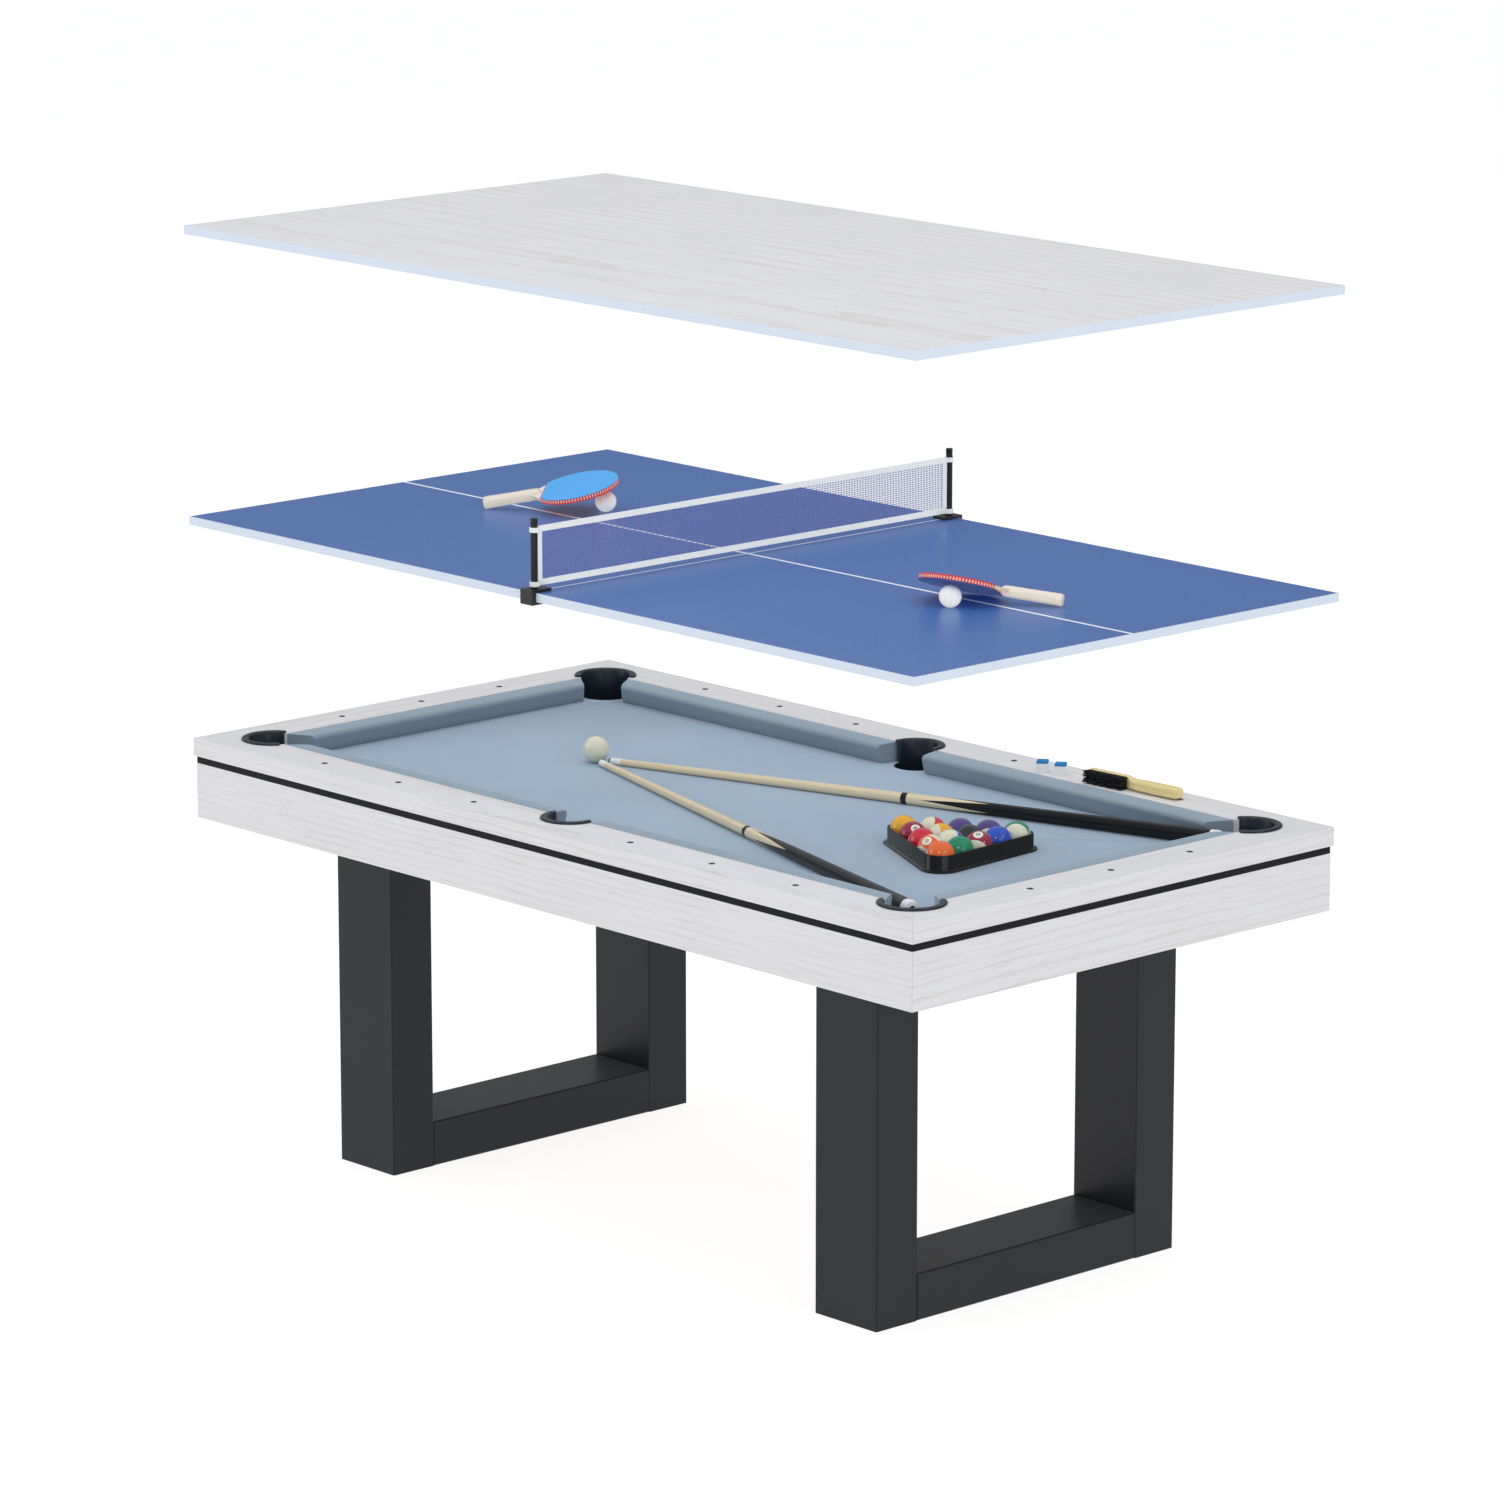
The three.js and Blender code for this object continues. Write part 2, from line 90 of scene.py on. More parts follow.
def colour_property(name, description, hex_colour):
    return bpy.props.FloatVectorProperty(
        name=name, description=description, subtype="COLOR", size=3, min=0, max=1,
        default=linear(hex_colour),
    )


def length_property(name, description, millimetres):
    return bpy.props.FloatProperty(
        name=name, description=description, subtype="DISTANCE", unit="LENGTH", min=0.1 * MM,
        default=millimetres * MM,
    )


class GamesTableColours(bpy.types.PropertyGroup):
    """The colours that a user would change"""

    whitewash: colour_property("Whitewash", "Ground colour of the whitewashed laminate", "#E4E4E8")
    grain: colour_property("Grain", "Darker lines in the whitewashed laminate", "#CAC4BC")
    reveal: colour_property("Reveal strip", "Black strip between rail and apron", "#0D0E12")
    legs: colour_property("Legs", "Charcoal foil on the legs", "#13161E")
    cloth: colour_property("Cloth", "Worsted cloth on the bed", "#A5B8CB")
    # Painted shade: the cushions wear the bed's cloth, drawn darker and greyer here for the shade that falls
    # on their faces.
    cushion: colour_property("Cushion cloth", "Worsted cloth on the cushions", "#91A2B0")
    pocket: colour_property("Pockets", "Moulded pocket cups and flanges", "#1E2833")
    blue_top: colour_property("Tennis top", "Paint on the table-tennis top", "#436CB0")
    edge_band: colour_property("Edge band", "Edge banding round both tops", "#D8E3F2")
    white_line: colour_property("Lines", "Printed lines on the tennis top", "#F2F6FB")
    net: colour_property("Net", "Twine of the net", "#6C78B8")
    tape: colour_property("Net tape", "Woven tape round the net", "#F8FBFF")
    black_plastic: colour_property("Black plastic", "Net posts, clips and rack", "#101216")
    maple: colour_property("Maple", "Cue shafts and forearms", "#E9D9B8")
    lacquer: colour_property("Black lacquer", "Cue butts", "#0B0C10")
    cream: colour_property("Cream", "Cue ball and the caps of striped balls", "#E6E5CE")
    beech: colour_property("Beech", "Brush", "#F8E3A0")
    handle: colour_property("Paddle handle", "Pale poplar handle", "#F0E7DB")
    light_blue: colour_property("Light blue rubber", "Upper face of one paddle", "#38AEFC")
    deep_blue: colour_property("Deep blue rubber", "Lower face of the other paddle", "#0E4A9E")
    red: colour_property("Red rubber", "Red faces of the paddles", "#E0222D")
    chalk: colour_property("Chalk", "Billiard chalk", "#3F93D6")


class GamesTableSizes(bpy.types.PropertyGroup):
    """The small sizes that a user would change"""

    band: length_property("Edge band", "Thickness of the edge banding", 1.6)
    line: length_property("Centre line", "Width of the printed centre line", 6.5)
    thread: length_property("Net twine", "Thickness of the net's twine", 0.75)
    mesh_gap: length_property("Net mesh", "Spacing of the net's twine", 4.0)
    tape: length_property("Net tape", "Width of the woven tape", 11)
    sight: length_property("Sight", "Radius of a rail sight", 6)
    bristle: length_property("Bristle", "Radius of a brush bristle tuft", 0.55)
    stitch: length_property("Stitch", "Length of a stitch in the net tape", 3)


def colours():
    return bpy.context.scene.games_table_colours


def sizes():
    return bpy.context.scene.games_table_sizes


# ---------------------------------------------------------------- node trees


def add_node(tree, kind, inputs=None, **settings):
    """Adds a node, sets its properties and its inputs, and links the inputs that are given a socket."""
    made = tree.nodes.new(kind)
    for name, value in settings.items():
        setattr(made, name, value)
    for key, value in (inputs or {}).items():
        if isinstance(value, bpy.types.NodeSocket):
            tree.links.new(value, made.inputs[key])
        else:
            made.inputs[key].default_value = value
    return made


def new_material(name, colour, **surface):
    """A material with one principled shader of this colour, with its tree and its shader."""
    material = bpy.data.materials.new(name)
    material.use_nodes = True
    tree = material.node_tree
    tree.nodes.clear()
    inputs = {"Base Color": (*colour, 1.0)}
    inputs.update({key.replace("_", " "): value for key, value in surface.items()})
    shader = add_node(tree, "ShaderNodeBsdfPrincipled", inputs)
    add_node(tree, "ShaderNodeOutputMaterial", {"Surface": shader.outputs["BSDF"]})
    return material, tree, shader


def place_of(tree, own, scale=(1, 1, 1), turn=(0, 0, 0), shift=(0, 0, 0)):
    """The surface's own place in metres, from its "own" attribute or as Object coordinates, mapped."""
    if own:
        source = add_node(tree, "ShaderNodeAttribute", attribute_name="own").outputs["Vector"]
    else:
        source = add_node(tree, "ShaderNodeTexCoord").outputs["Object"]
    mapping = add_node(
        tree, "ShaderNodeMapping", {"Vector": source, "Location": shift, "Rotation": turn, "Scale": scale}
    )
    return mapping.outputs["Vector"]


def noise(tree, vector, scale, detail=2.0, roughness=0.5):
    made = add_node(
        tree, "ShaderNodeTexNoise",
        {"Vector": vector, "Scale": scale, "Detail": detail, "Roughness": roughness},
    )
    return made.outputs["Fac"]


def spread(tree, value, low, high, to_low=0.0, to_high=1.0):
    """Maps a value from one range to another, clamped."""
    made = add_node(
        tree, "ShaderNodeMapRange",
        {"Value": value, "From Min": low, "From Max": high, "To Min": to_low, "To Max": to_high},
    )
    return made.outputs["Result"]


def calculate(tree, operation, a, b=0.0):
    return add_node(tree, "ShaderNodeMath", {0: a, 1: b}, operation=operation).outputs[0]


def blend_colours(tree, factor, first, second, how="MIX"):
    """Mixes two colours, each a linear triple or a socket."""
    pair = [c if isinstance(c, bpy.types.NodeSocket) else (*c, 1.0) for c in (first, second)]
    inputs = {0: factor, 6: pair[0], 7: pair[1]}
    return add_node(tree, "ShaderNodeMix", inputs, data_type="RGBA", blend_type=how).outputs[2]


def waves(tree, vector, pitch, direction, distortion=0.0):
    """Straight bands this far apart, in metres."""
    made = add_node(
        tree, "ShaderNodeTexWave",
        {"Vector": vector, "Scale": TURN / 20 / pitch, "Distortion": distortion},
        bands_direction=direction,
    )
    return made.outputs["Fac"]


def roughen(tree, shader, height, distance, strength=1.0):
    """Bumps the surface by this height map, whose full range is this many metres deep."""
    bump = add_node(
        tree, "ShaderNodeBump", {"Height": height, "Distance": distance, "Strength": strength}
    )
    tree.links.new(bump.outputs["Normal"], shader.inputs["Normal"])


def vary(tree, shader, socket, value):
    tree.links.new(value, shader.inputs[socket])


# ---------------------------------------------------------------- materials

_materials = {}


def kept(name, maker, *args):
    """Makes a material the first time it is asked for."""
    if name not in _materials:
        _materials[name] = maker(name, *args)
    return _materials[name]


def wood_figure(tree, own, along, ring, tilt=(0.0, 0.03, 0.035), shift=(0.3, 0.62, 0.5)):
    """Growth rings cut by a slightly tilted plane, and fine pores, with the grain along this axis."""
    squeeze = [1.0, 1.0, 1.0]
    squeeze[along] = 0.16
    place = place_of(tree, own, scale=squeeze, turn=tilt, shift=shift)
    rings = add_node(
        tree, "ShaderNodeTexWave",
        {
            "Vector": place, "Scale": TURN / 20 / ring, "Distortion": 5.0,
            "Detail": 3.0, "Detail Scale": 0.9, "Detail Roughness": 0.55,
        },
        wave_type="RINGS", rings_direction="XYZ"[along], wave_profile="SAW",
    ).outputs["Fac"]
    fine = [900.0, 900.0, 900.0]
    fine[along] = 22.0
    pores = noise(tree, place_of(tree, own, scale=fine), 1.0, 1.0)
    return rings, pores


def whitewashed_laminate(name, along):
    # Printed ash melamine with a white wash: a pale ground, faint warm arches and pressed pores, satin.
    ground, line = colours().whitewash, colours().grain
    material, tree, shader = new_material(name, ground, Roughness=0.5)
    rings, pores = wood_figure(tree, False, along, 0.014)
    soft = noise(tree, place_of(tree, False), 5.0, 3.0)
    streak_scale = [260.0, 260.0, 260.0]
    streak_scale[along] = 5.0
    streaks = noise(tree, place_of(tree, False, scale=streak_scale), 1.0, 3.0)
    strong = spread(tree, soft, 0.35, 0.65, 0.1, 0.6)
    lines = calculate(tree, "MULTIPLY", spread(tree, rings, 0.7, 1.0), strong)
    tinted = blend_colours(tree, lines, ground, line)
    tinted = blend_colours(tree, spread(tree, streaks, 0.45, 0.8, 0.0, 0.3), tinted, line)
    flecks = spread(tree, pores, 0.6, 0.74, 0.0, 0.4)
    vary(tree, shader, "Base Color", blend_colours(tree, flecks, tinted, line))
    vary(tree, shader, "Roughness", spread(tree, soft, 0.3, 0.7, 0.44, 0.56))
    roughen(tree, shader, calculate(tree, "SUBTRACT", 1.0, flecks), 0.00012)
    return material


def black_foil(name):
    # Satin melamine foil on the reveal strip: near black with a soft broad highlight.
    material, tree, shader = new_material(name, colours().reveal, Roughness=0.42, Specular_IOR_Level=0.15)
    grit = noise(tree, place_of(tree, False), 900.0, 2.0)
    vary(tree, shader, "Roughness", spread(tree, grit, 0.3, 0.7, 0.36, 0.5))
    roughen(tree, shader, grit, 0.00004)
    return material


def charcoal_foil(name):
    # Textured charcoal foil wrapped on board: a pebble of about 1.5 mm, drawn coarse so that it shows.
    ground = colours().legs
    material, tree, shader = new_material(
        name, ground, Roughness=0.36, Specular_IOR_Level=0.3, Sheen_Weight=0.6, Sheen_Roughness=0.25,
        Sheen_Tint=(0.85, 0.92, 1.0, 1.0),
    )
    place = place_of(tree, False)
    pebble = noise(tree, place, 650.0, 2.0)
    cloudy = noise(tree, place, 7.0, 3.0)
    tone = spread(tree, cloudy, 0.3, 0.7, 0.0, 0.5)
    vary(tree, shader, "Base Color", blend_colours(tree, tone, ground, linear("#191C25")))
    vary(tree, shader, "Roughness", spread(tree, pebble, 0.3, 0.7, 0.3, 0.42))
    roughen(tree, shader, pebble, 0.00006)
    return material


def particle_board(name):
    # Raw pressed board under the bed: brown chips of a few millimetres in a paler ground, dull.
    material, tree, shader = new_material(name, linear("#B39A74"), Roughness=0.85)
    chips = add_node(
        tree, "ShaderNodeTexVoronoi", {"Vector": place_of(tree, False, scale=(1, 2.2, 1)), "Scale": 240.0}
    ).outputs["Color"]
    vary(tree, shader, "Base Color", blend_colours(tree, 0.16, linear("#B39A74"), chips, "OVERLAY"))
    return material


def worsted_cloth(name, ground, hex_shade):
    # Worsted wool and nylon cloth: threads of about 0.6 mm, drawn at 1.2 mm, under a short soft nap.
    shade = linear(hex_shade)
    material, tree, shader = new_material(
        name, ground, Roughness=0.95, Sheen_Weight=0.8, Sheen_Roughness=0.4, Specular_IOR_Level=0.12,
        Sheen_Tint=(0.66, 0.82, 1.0, 1.0),
    )
    place = place_of(tree, False)
    warp, weft = (waves(tree, place, 1.2 * MM, direction, 0.6) for direction in "XY")
    weave = calculate(tree, "MULTIPLY", warp, weft)
    fuzz = noise(tree, place, 700.0, 3.0)
    worn = noise(tree, place, 3.0, 4.0)
    tone = calculate(
        tree, "ADD", spread(tree, fuzz, 0.3, 0.7, 0.0, 0.35), spread(tree, worn, 0.3, 0.7, 0.0, 0.35)
    )
    vary(tree, shader, "Base Color", blend_colours(tree, tone, ground, shade))
    roughen(tree, shader, calculate(tree, "ADD", calculate(tree, "MULTIPLY", weave, 0.5), fuzz), 0.0002, 0.7)
    return material


def gloss_abs(name, colour, roughness):
    # Injection-moulded ABS: dark with a clean gloss, and faint flow marks in the sheen.
    material, tree, shader = new_material(
        name, colour, Roughness=roughness, IOR=1.53, Specular_IOR_Level=0.4
    )
    flow = noise(tree, place_of(tree, False, scale=(1, 1, 0.4)), 60.0, 3.0)
    vary(tree, shader, "Roughness", spread(tree, flow, 0.3, 0.7, roughness * 0.75, roughness * 1.3))
    roughen(tree, shader, flow, 0.00006)
    return material


def satin_plastic(name, own=False):
    # Moulded polypropylene with a fine spark-eroded texture of about half a millimetre.
    material, tree, shader = new_material(name, colours().black_plastic, Roughness=0.38, IOR=1.49)
    grit = noise(tree, place_of(tree, own), 1400.0, 2.0)
    vary(tree, shader, "Roughness", spread(tree, grit, 0.3, 0.7, 0.32, 0.46))
    roughen(tree, shader, grit, 0.00005)
    return material


def painted_top(name):
    # Roller-coated blue acrylic on fibreboard: even colour, slight orange peel of about 2 mm, satin.
    ground = colours().blue_top
    material, tree, shader = new_material(name, ground, Roughness=0.34, Specular_IOR_Level=0.35)
    place = place_of(tree, False)
    peel = noise(tree, place, 450.0, 2.0)
    cloudy = noise(tree, place, 1.6, 2.0)
    tone = spread(tree, cloudy, 0.3, 0.7, 0.0, 0.3)
    vary(tree, shader, "Base Color", blend_colours(tree, tone, ground, linear("#4C74B6")))
    vary(tree, shader, "Roughness", spread(tree, peel, 0.3, 0.7, 0.3, 0.4))
    roughen(tree, shader, peel, 0.00005)
    return material


def plain_finish(name, colour, roughness, grain=500.0, depth=0.00004, own=False, **surface):
    """An even moulded, printed or painted finish with a faint texture of its own."""
    material, tree, shader = new_material(name, colour, Roughness=roughness, **surface)
    grit = noise(tree, place_of(tree, own), grain, 2.0)
    vary(tree, shader, "Roughness", spread(tree, grit, 0.3, 0.7, roughness * 0.8, min(1.0, roughness * 1.2)))
    roughen(tree, shader, grit, depth)
    return material


def edge_band(name):
    # Extruded ABS edge banding, very pale blue, with a light satin.
    return plain_finish(name, colours().edge_band, 0.4)


def backing_foil(name):
    # Pale balancing foil on the tops' undersides, plain and dull.
    return plain_finish(name, linear("#D9DBDD"), 0.6)


def screen_ink(name):
    # Screen-printed white ink, a little matter than the paint under it.
    return plain_finish(name, colours().white_line, 0.5)


def net_twine(name):
    # Spun polyester twine, blue, with no gloss.
    return plain_finish(name, colours().net, 0.85, 3000.0)


def woven_tape(name):
    # Herringbone cotton tape: ribs of about 1 mm that show as a fine tooth.
    material, tree, shader = new_material(name, colours().tape, Roughness=0.9, Sheen_Weight=0.1)
    place = place_of(tree, False)
    ribs = waves(tree, place, 1.2 * MM, "DIAGONAL", 0.4)
    shaded = blend_colours(tree, spread(tree, ribs, 0, 1, 0, 0.35), colours().tape, linear("#CBD2DF"))
    vary(tree, shader, "Base Color", shaded)
    roughen(tree, shader, ribs, 0.00015)
    return material


def varnished_wood(name, colour, dark, along, ring, roughness):
    # Turned and varnished wood: fine straight grain in the piece's own length under a clear coat.
    material, tree, shader = new_material(
        name, colour, Roughness=roughness, Coat_Weight=0.6, Coat_Roughness=0.12
    )
    rings, pores = wood_figure(tree, True, along, ring, tilt=(0, 0, 0), shift=(0.004, 0.011, 0.006))
    lines = spread(tree, rings, 0.3, 1.0, 0.0, 0.45)
    tinted = blend_colours(tree, lines, colour, dark)
    open_pores = spread(tree, pores, 0.55, 0.75, 0, 0.4)
    vary(tree, shader, "Base Color", blend_colours(tree, open_pores, tinted, dark))
    roughen(tree, shader, pores, 0.00004)
    return material


def maple_shaft(name):
    # Maple, turned, sanded and varnished, nearly white along the grain.
    return varnished_wood(name, colours().maple, linear("#D3BD92"), 2, 0.006, 0.3)


def pointed_butt(name):
    # Black-lacquered butt whose four long points run up into a maple forearm, under one glossy varnish.
    maple, black = colours().maple, colours().lacquer
    material, tree, shader = new_material(
        name, black, Roughness=0.3, Specular_IOR_Level=0.15, Coat_Weight=0.45, Coat_Roughness=0.03
    )
    rings, pores = wood_figure(tree, True, 2, 0.006, tilt=(0, 0, 0), shift=(0.004, 0.011, 0.006))
    wood = blend_colours(tree, spread(tree, rings, 0.3, 1.0, 0.0, 0.4), maple, linear("#D3BD92"))
    source = add_node(tree, "ShaderNodeAttribute", attribute_name="own").outputs["Vector"]
    parts = add_node(tree, "ShaderNodeSeparateXYZ", {"Vector": source}).outputs
    angle = calculate(tree, "ARCTAN2", parts["Y"], parts["X"])
    quarter = calculate(tree, "PINGPONG", calculate(tree, "DIVIDE", angle, math.pi / 4), 1.0)
    tip = calculate(tree, "ADD", 0.672, calculate(tree, "MULTIPLY", quarter, 0.14))
    past = calculate(tree, "SUBTRACT", parts["Z"], tip)
    inlay = spread(tree, past, -0.0006, 0.0006)
    vary(tree, shader, "Base Color", blend_colours(tree, inlay, wood, black))
    roughen(tree, shader, pores, 0.00002)
    return material


def phenolic_resin(name, colour):
    # Cast and polished phenolic resin: deep colour under a mirror-like polish, with a faint haze of wear.
    material, tree, shader = new_material(
        name, colour, Roughness=0.08, IOR=1.6, Coat_Weight=0.5, Coat_Roughness=0.03
    )
    wear = noise(tree, place_of(tree, True), 160.0, 3.0)
    vary(tree, shader, "Roughness", spread(tree, wear, 0.35, 0.75, 0.06, 0.14))
    return material


def celluloid(name):
    # Matt moulded table-tennis ball, slightly translucent, with a sanded face.
    return plain_finish(
        name, linear("#F4F6FA"), 0.5, 1800.0, 0.00003, True, Subsurface_Weight=0.15, Subsurface_Scale=0.004
    )


def bat_rubber(name, colour):
    # Pimples-in sheet rubber: smooth and grippy, with the pimples' 1.8 mm pattern just printing through.
    material, tree, shader = new_material(name, colour, Roughness=0.5, IOR=1.52, Sheen_Weight=0.08)
    dots = add_node(
        tree, "ShaderNodeTexVoronoi", {"Vector": place_of(tree, True), "Scale": 550.0, "Randomness": 0.15}
    ).outputs["Distance"]
    dark = tuple(c * 0.86 for c in colour)
    printed = spread(tree, dots, 0.2, 0.6, 0, 0.5)
    vary(tree, shader, "Base Color", blend_colours(tree, printed, colour, dark))
    roughen(tree, shader, dots, 0.00006)
    return material


def edging_tape(name):
    # Smooth red vinyl tape that covers the blade's edge between the two rubbers.
    return plain_finish(name, tuple(colours().red), 0.3, 900.0, 0.00002, True)


def plywood_edge(name):
    # Five plies of blade wood seen on edge: thin lines of a darker veneer.
    material, tree, shader = new_material(name, colours().handle, Roughness=0.5)
    plies = spread(tree, waves(tree, place_of(tree, True), 2.6 * MM, "Z"), 0.5, 0.9)
    vary(tree, shader, "Base Color", blend_colours(tree, plies, colours().handle, linear("#A98F6C")))
    return material


def horsehair(name):
    # Black horsehair and nylon tufts, a little glossy along each hair.
    return plain_finish(name, linear("#131316"), 0.45, 900.0)


def chalk_block(name):
    # Pressed billiard chalk: powdery, mottled, with no shine.
    material, tree, shader = new_material(name, colours().chalk, Roughness=1.0, Specular_IOR_Level=0.05)
    grit = noise(tree, place_of(tree, True), 1500.0, 3.0)
    mottled = blend_colours(tree, spread(tree, grit, 0.35, 0.7), colours().chalk, linear("#2F78B8"))
    vary(tree, shader, "Base Color", mottled)
    roughen(tree, shader, grit, 0.0003)
    return material


def paper_wrap(name):
    # White coated paper wrapped round the chalk.
    return plain_finish(name, linear("#F1F3F6"), 0.55, 2200.0, 0.00003, True)


def zinc_plate(name):
    # Bright zinc-plated steel of the hex heads under the frame.
    return plain_finish(name, linear("#A9ADB3"), 0.32, 1200.0, 0.00002, False, Metallic=1.0)


# ---------------------------------------------------------------- mesh helpers


def new_shape():
    """An empty mesh in the making, whose vertices remember their place before they are moved."""
    shape = bmesh.new()
    shape.verts.layers.float_vector.new("own")
    return shape


def add_loft(shape, rings, material=0, closed=False):
    """Skins a row of rings that have the same number of points. Ends are capped unless the row is closed."""
    made = [[shape.verts.new(point) for point in ring] for ring in rings]
    count = len(made[0])
    pairs = list(zip(made, made[1:]))
    if closed:
        pairs.append((made[-1], made[0]))
    faces = []
    for first, second in pairs:
        for i in range(count):
            j = (i + 1) % count
            faces.append(shape.faces.new((first[i], first[j], second[j], second[i])))
    if not closed:
        faces.append(shape.faces.new(list(reversed(made[0]))))
        faces.append(shape.faces.new(made[-1]))
    for face in faces:
        face.material_index = material
    return faces


def circle(radius, height, steps):
    angles = [TURN * i / steps for i in range(steps)]
    return [(radius * math.cos(angle), radius * math.sin(angle), height) for angle in angles]


def boxy_ring(along, centre, half, power, steps):
    """A ring across X, between an oval and a rectangle, in millimetres."""
    ring = []
    for i in range(steps):
        c, s = math.cos(TURN * i / steps), math.sin(TURN * i / steps)
        y = centre[0] + half[0] * math.copysign(abs(c) ** power, c)
        z = centre[1] + half[1] * math.copysign(abs(s) ** power, s)
        ring.append((along * MM, y * MM, z * MM))
    return ring


def add_turned(shape, profile, steps, material=0):
    """A solid turned about Z from (radius, height) points that run from one end to the other."""
    return add_loft(shape, [circle(radius, height, steps) for radius, height in profile], material)


def add_box(shape, low, high, material=0):
    (x0, y0, z0), (x1, y1, z1) = low, high
    ring = [(x0, y0), (x1, y0), (x1, y1), (x0, y1)]
    return add_loft(shape, [[(x, y, z) for x, y in ring] for z in (z0, z1)], material)


def add_prism(shape, ring, low, high, material=0, soften=0.0):
    """A flat outline between two heights, its rims eased by this much."""
    middle = sum((Vector(p) for p in ring), Vector((0.0, 0.0))) / len(ring)
    rows = []
    for height, ease in ((low, soften), (low + soften, 0.0), (high - soften, 0.0), (high, soften)):
        row = []
        for point in ring:
            arm = Vector(point) - middle
            shrunk = middle + arm * (1 - ease / max(arm.length, ease * 2))
            row.append((shrunk.x, shrunk.y, height))
        rows.append(row)
    return add_loft(shape, rows if soften else [rows[0], rows[-1]], material)


def settle(shape, matrix=None, centre_on=None):
    """Notes each vertex's own place, then puts the shape where it belongs."""
    layer = shape.verts.layers.float_vector["own"]
    for vertex in shape.verts:
        vertex[layer] = vertex.co
    if matrix is not None:
        bmesh.ops.transform(shape, matrix=matrix, verts=shape.verts)
    if centre_on is not None:
        low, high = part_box(centre_on)
        corners = [[v.co[axis] for v in shape.verts] for axis in range(3)]
        mine = Vector([(min(c) + max(c)) / 2 for c in corners])
        bmesh.ops.translate(shape, vec=(low + high) / 2 - mine, verts=shape.verts)
    return shape


def make_piece(name, shape, materials, body, nodes=(), crease=35, bevel=0.0, recalculate=True):
    """Turns a finished shape into a named piece that rides on a body and stands for these CAD nodes."""
    if recalculate:
        bmesh.ops.recalc_face_normals(shape, faces=shape.faces)
    mesh = bpy.data.meshes.new(name)
    shape.to_mesh(mesh)
    shape.free()
    for material in materials:
        mesh.materials.append(material)
    mesh.shade_smooth()
    mesh.set_sharp_from_angle(angle=math.radians(crease))
    piece = bpy.data.objects.new(name, mesh)
    bpy.context.scene.collection.objects.link(piece)
    if bevel:
        ease = piece.modifiers.new("ease", "BEVEL")
        ease.width = bevel
        ease.segments = 2
        ease.limit_method = "ANGLE"
        ease.angle_limit = math.radians(50)
    return join_model(piece, body, nodes)


def join_model(piece, body, nodes=()):
    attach(piece, body)
    if nodes:
        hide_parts(*nodes)
    return piece


def grow(name, points, build, inputs, material):
    """Runs a Geometry Nodes tree over some points and returns the result as a plain mesh object."""
    tree = bpy.data.node_groups.new(name, "GeometryNodeTree")
    tree.interface.new_socket(name="Geometry", in_out="INPUT", socket_type="NodeSocketGeometry")
    tree.interface.new_socket(name="Geometry", in_out="OUTPUT", socket_type="NodeSocketGeometry")
    values = {}
    for label, (kind, value) in inputs.items():
        socket = tree.interface.new_socket(name=label, in_out="INPUT", socket_type=kind)
        values[socket.identifier] = value
    start = add_node(tree, "NodeGroupInput")
    whole = add_node(tree, "GeometryNodeRealizeInstances", {"Geometry": build(tree, start.outputs)})
    painted = add_node(
        tree, "GeometryNodeSetMaterial", {"Geometry": whole.outputs["Geometry"], "Material": material}
    )
    add_node(tree, "NodeGroupOutput", {"Geometry": painted.outputs["Geometry"]})
    mesh = bpy.data.meshes.new(name)
    mesh.from_pydata([tuple(p) for p in points], [], [])
    piece = bpy.data.objects.new(name, mesh)
    bpy.context.scene.collection.objects.link(piece)
    modifier = piece.modifiers.new("grow", "NODES")
    modifier.node_group = tree
    for identifier, value in values.items():
        modifier[identifier] = value
    evaluated = piece.evaluated_get(bpy.context.evaluated_depsgraph_get())
    result = bpy.data.meshes.new_from_object(evaluated)
    piece.modifiers.remove(modifier)
    piece.data = result
    return piece


FLOAT = "NodeSocketFloat"
WHOLE = "NodeSocketInt"
VECTOR = "NodeSocketVector"


def on_points(tree, points, instance, rotation=None):
    inputs = {"Points": points, "Instance": instance}
    if rotation is not None:
        inputs["Rotation"] = rotation
    return add_node(tree, "GeometryNodeInstanceOnPoints", inputs).outputs["Instances"]


def join_outputs(tree, outputs):
    joined = add_node(tree, "GeometryNodeJoinGeometry")
    for output in outputs:
        tree.links.new(output, joined.inputs[0])
    return joined.outputs[0]


def finish_node(name, material):
    """Gives a CAD node its finish."""
    for slot in bpy.data.objects[name].material_slots:
        slot.link = "OBJECT"
        slot.material = material


# ---------------------------------------------------------------- cabinet, bed and legs


def finish_cabinet():
    lengthwise = kept("whitewashed_laminate_lengthwise", whitewashed_laminate, 0)
    crosswise = kept("whitewashed_laminate_crosswise", whitewashed_laminate, 1)
    for side in SIDES:
        for board in ("apron", "rail"):
            finish_node(f"{board}_{side}", lengthwise if side in ("near", "far") else crosswise)
    finish_node("reveal_strip", kept("satin_black_foil", black_foil))
    for member in ("bed_board", "cross_member_left", "cross_member_middle", "cross_member_right"):
        finish_node(member, kept("pressed_particle_board", particle_board))


def finish_legs():
    foil = kept("charcoal_foil", charcoal_foil)
    for end in ENDS:
        for part in ("upright_near", "upright_far", "beam"):
            finish_node(f"leg_{end}_{part}", foil)


def sight_places():
    """The middles of the eighteen sights: three each side of a side pocket and three on each end."""
    low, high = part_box("rail_near")
    top = high.z
    long_y = (high.y - low.y) / 2 + low.y
    end_low, end_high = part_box("rail_right")
    end_x = (end_low.x + end_high.x) / 2
    places = []
    for sign in (-1, 1):
        for step in (1, 2, 3):
            places += [(sign * step * SIGHT_SPACING, side * long_y, top) for side in (-1, 1)]
        places += [(sign * end_x, across * END_SIGHT_SPACING, top) for across in (-1, 0, 1)]
    return places


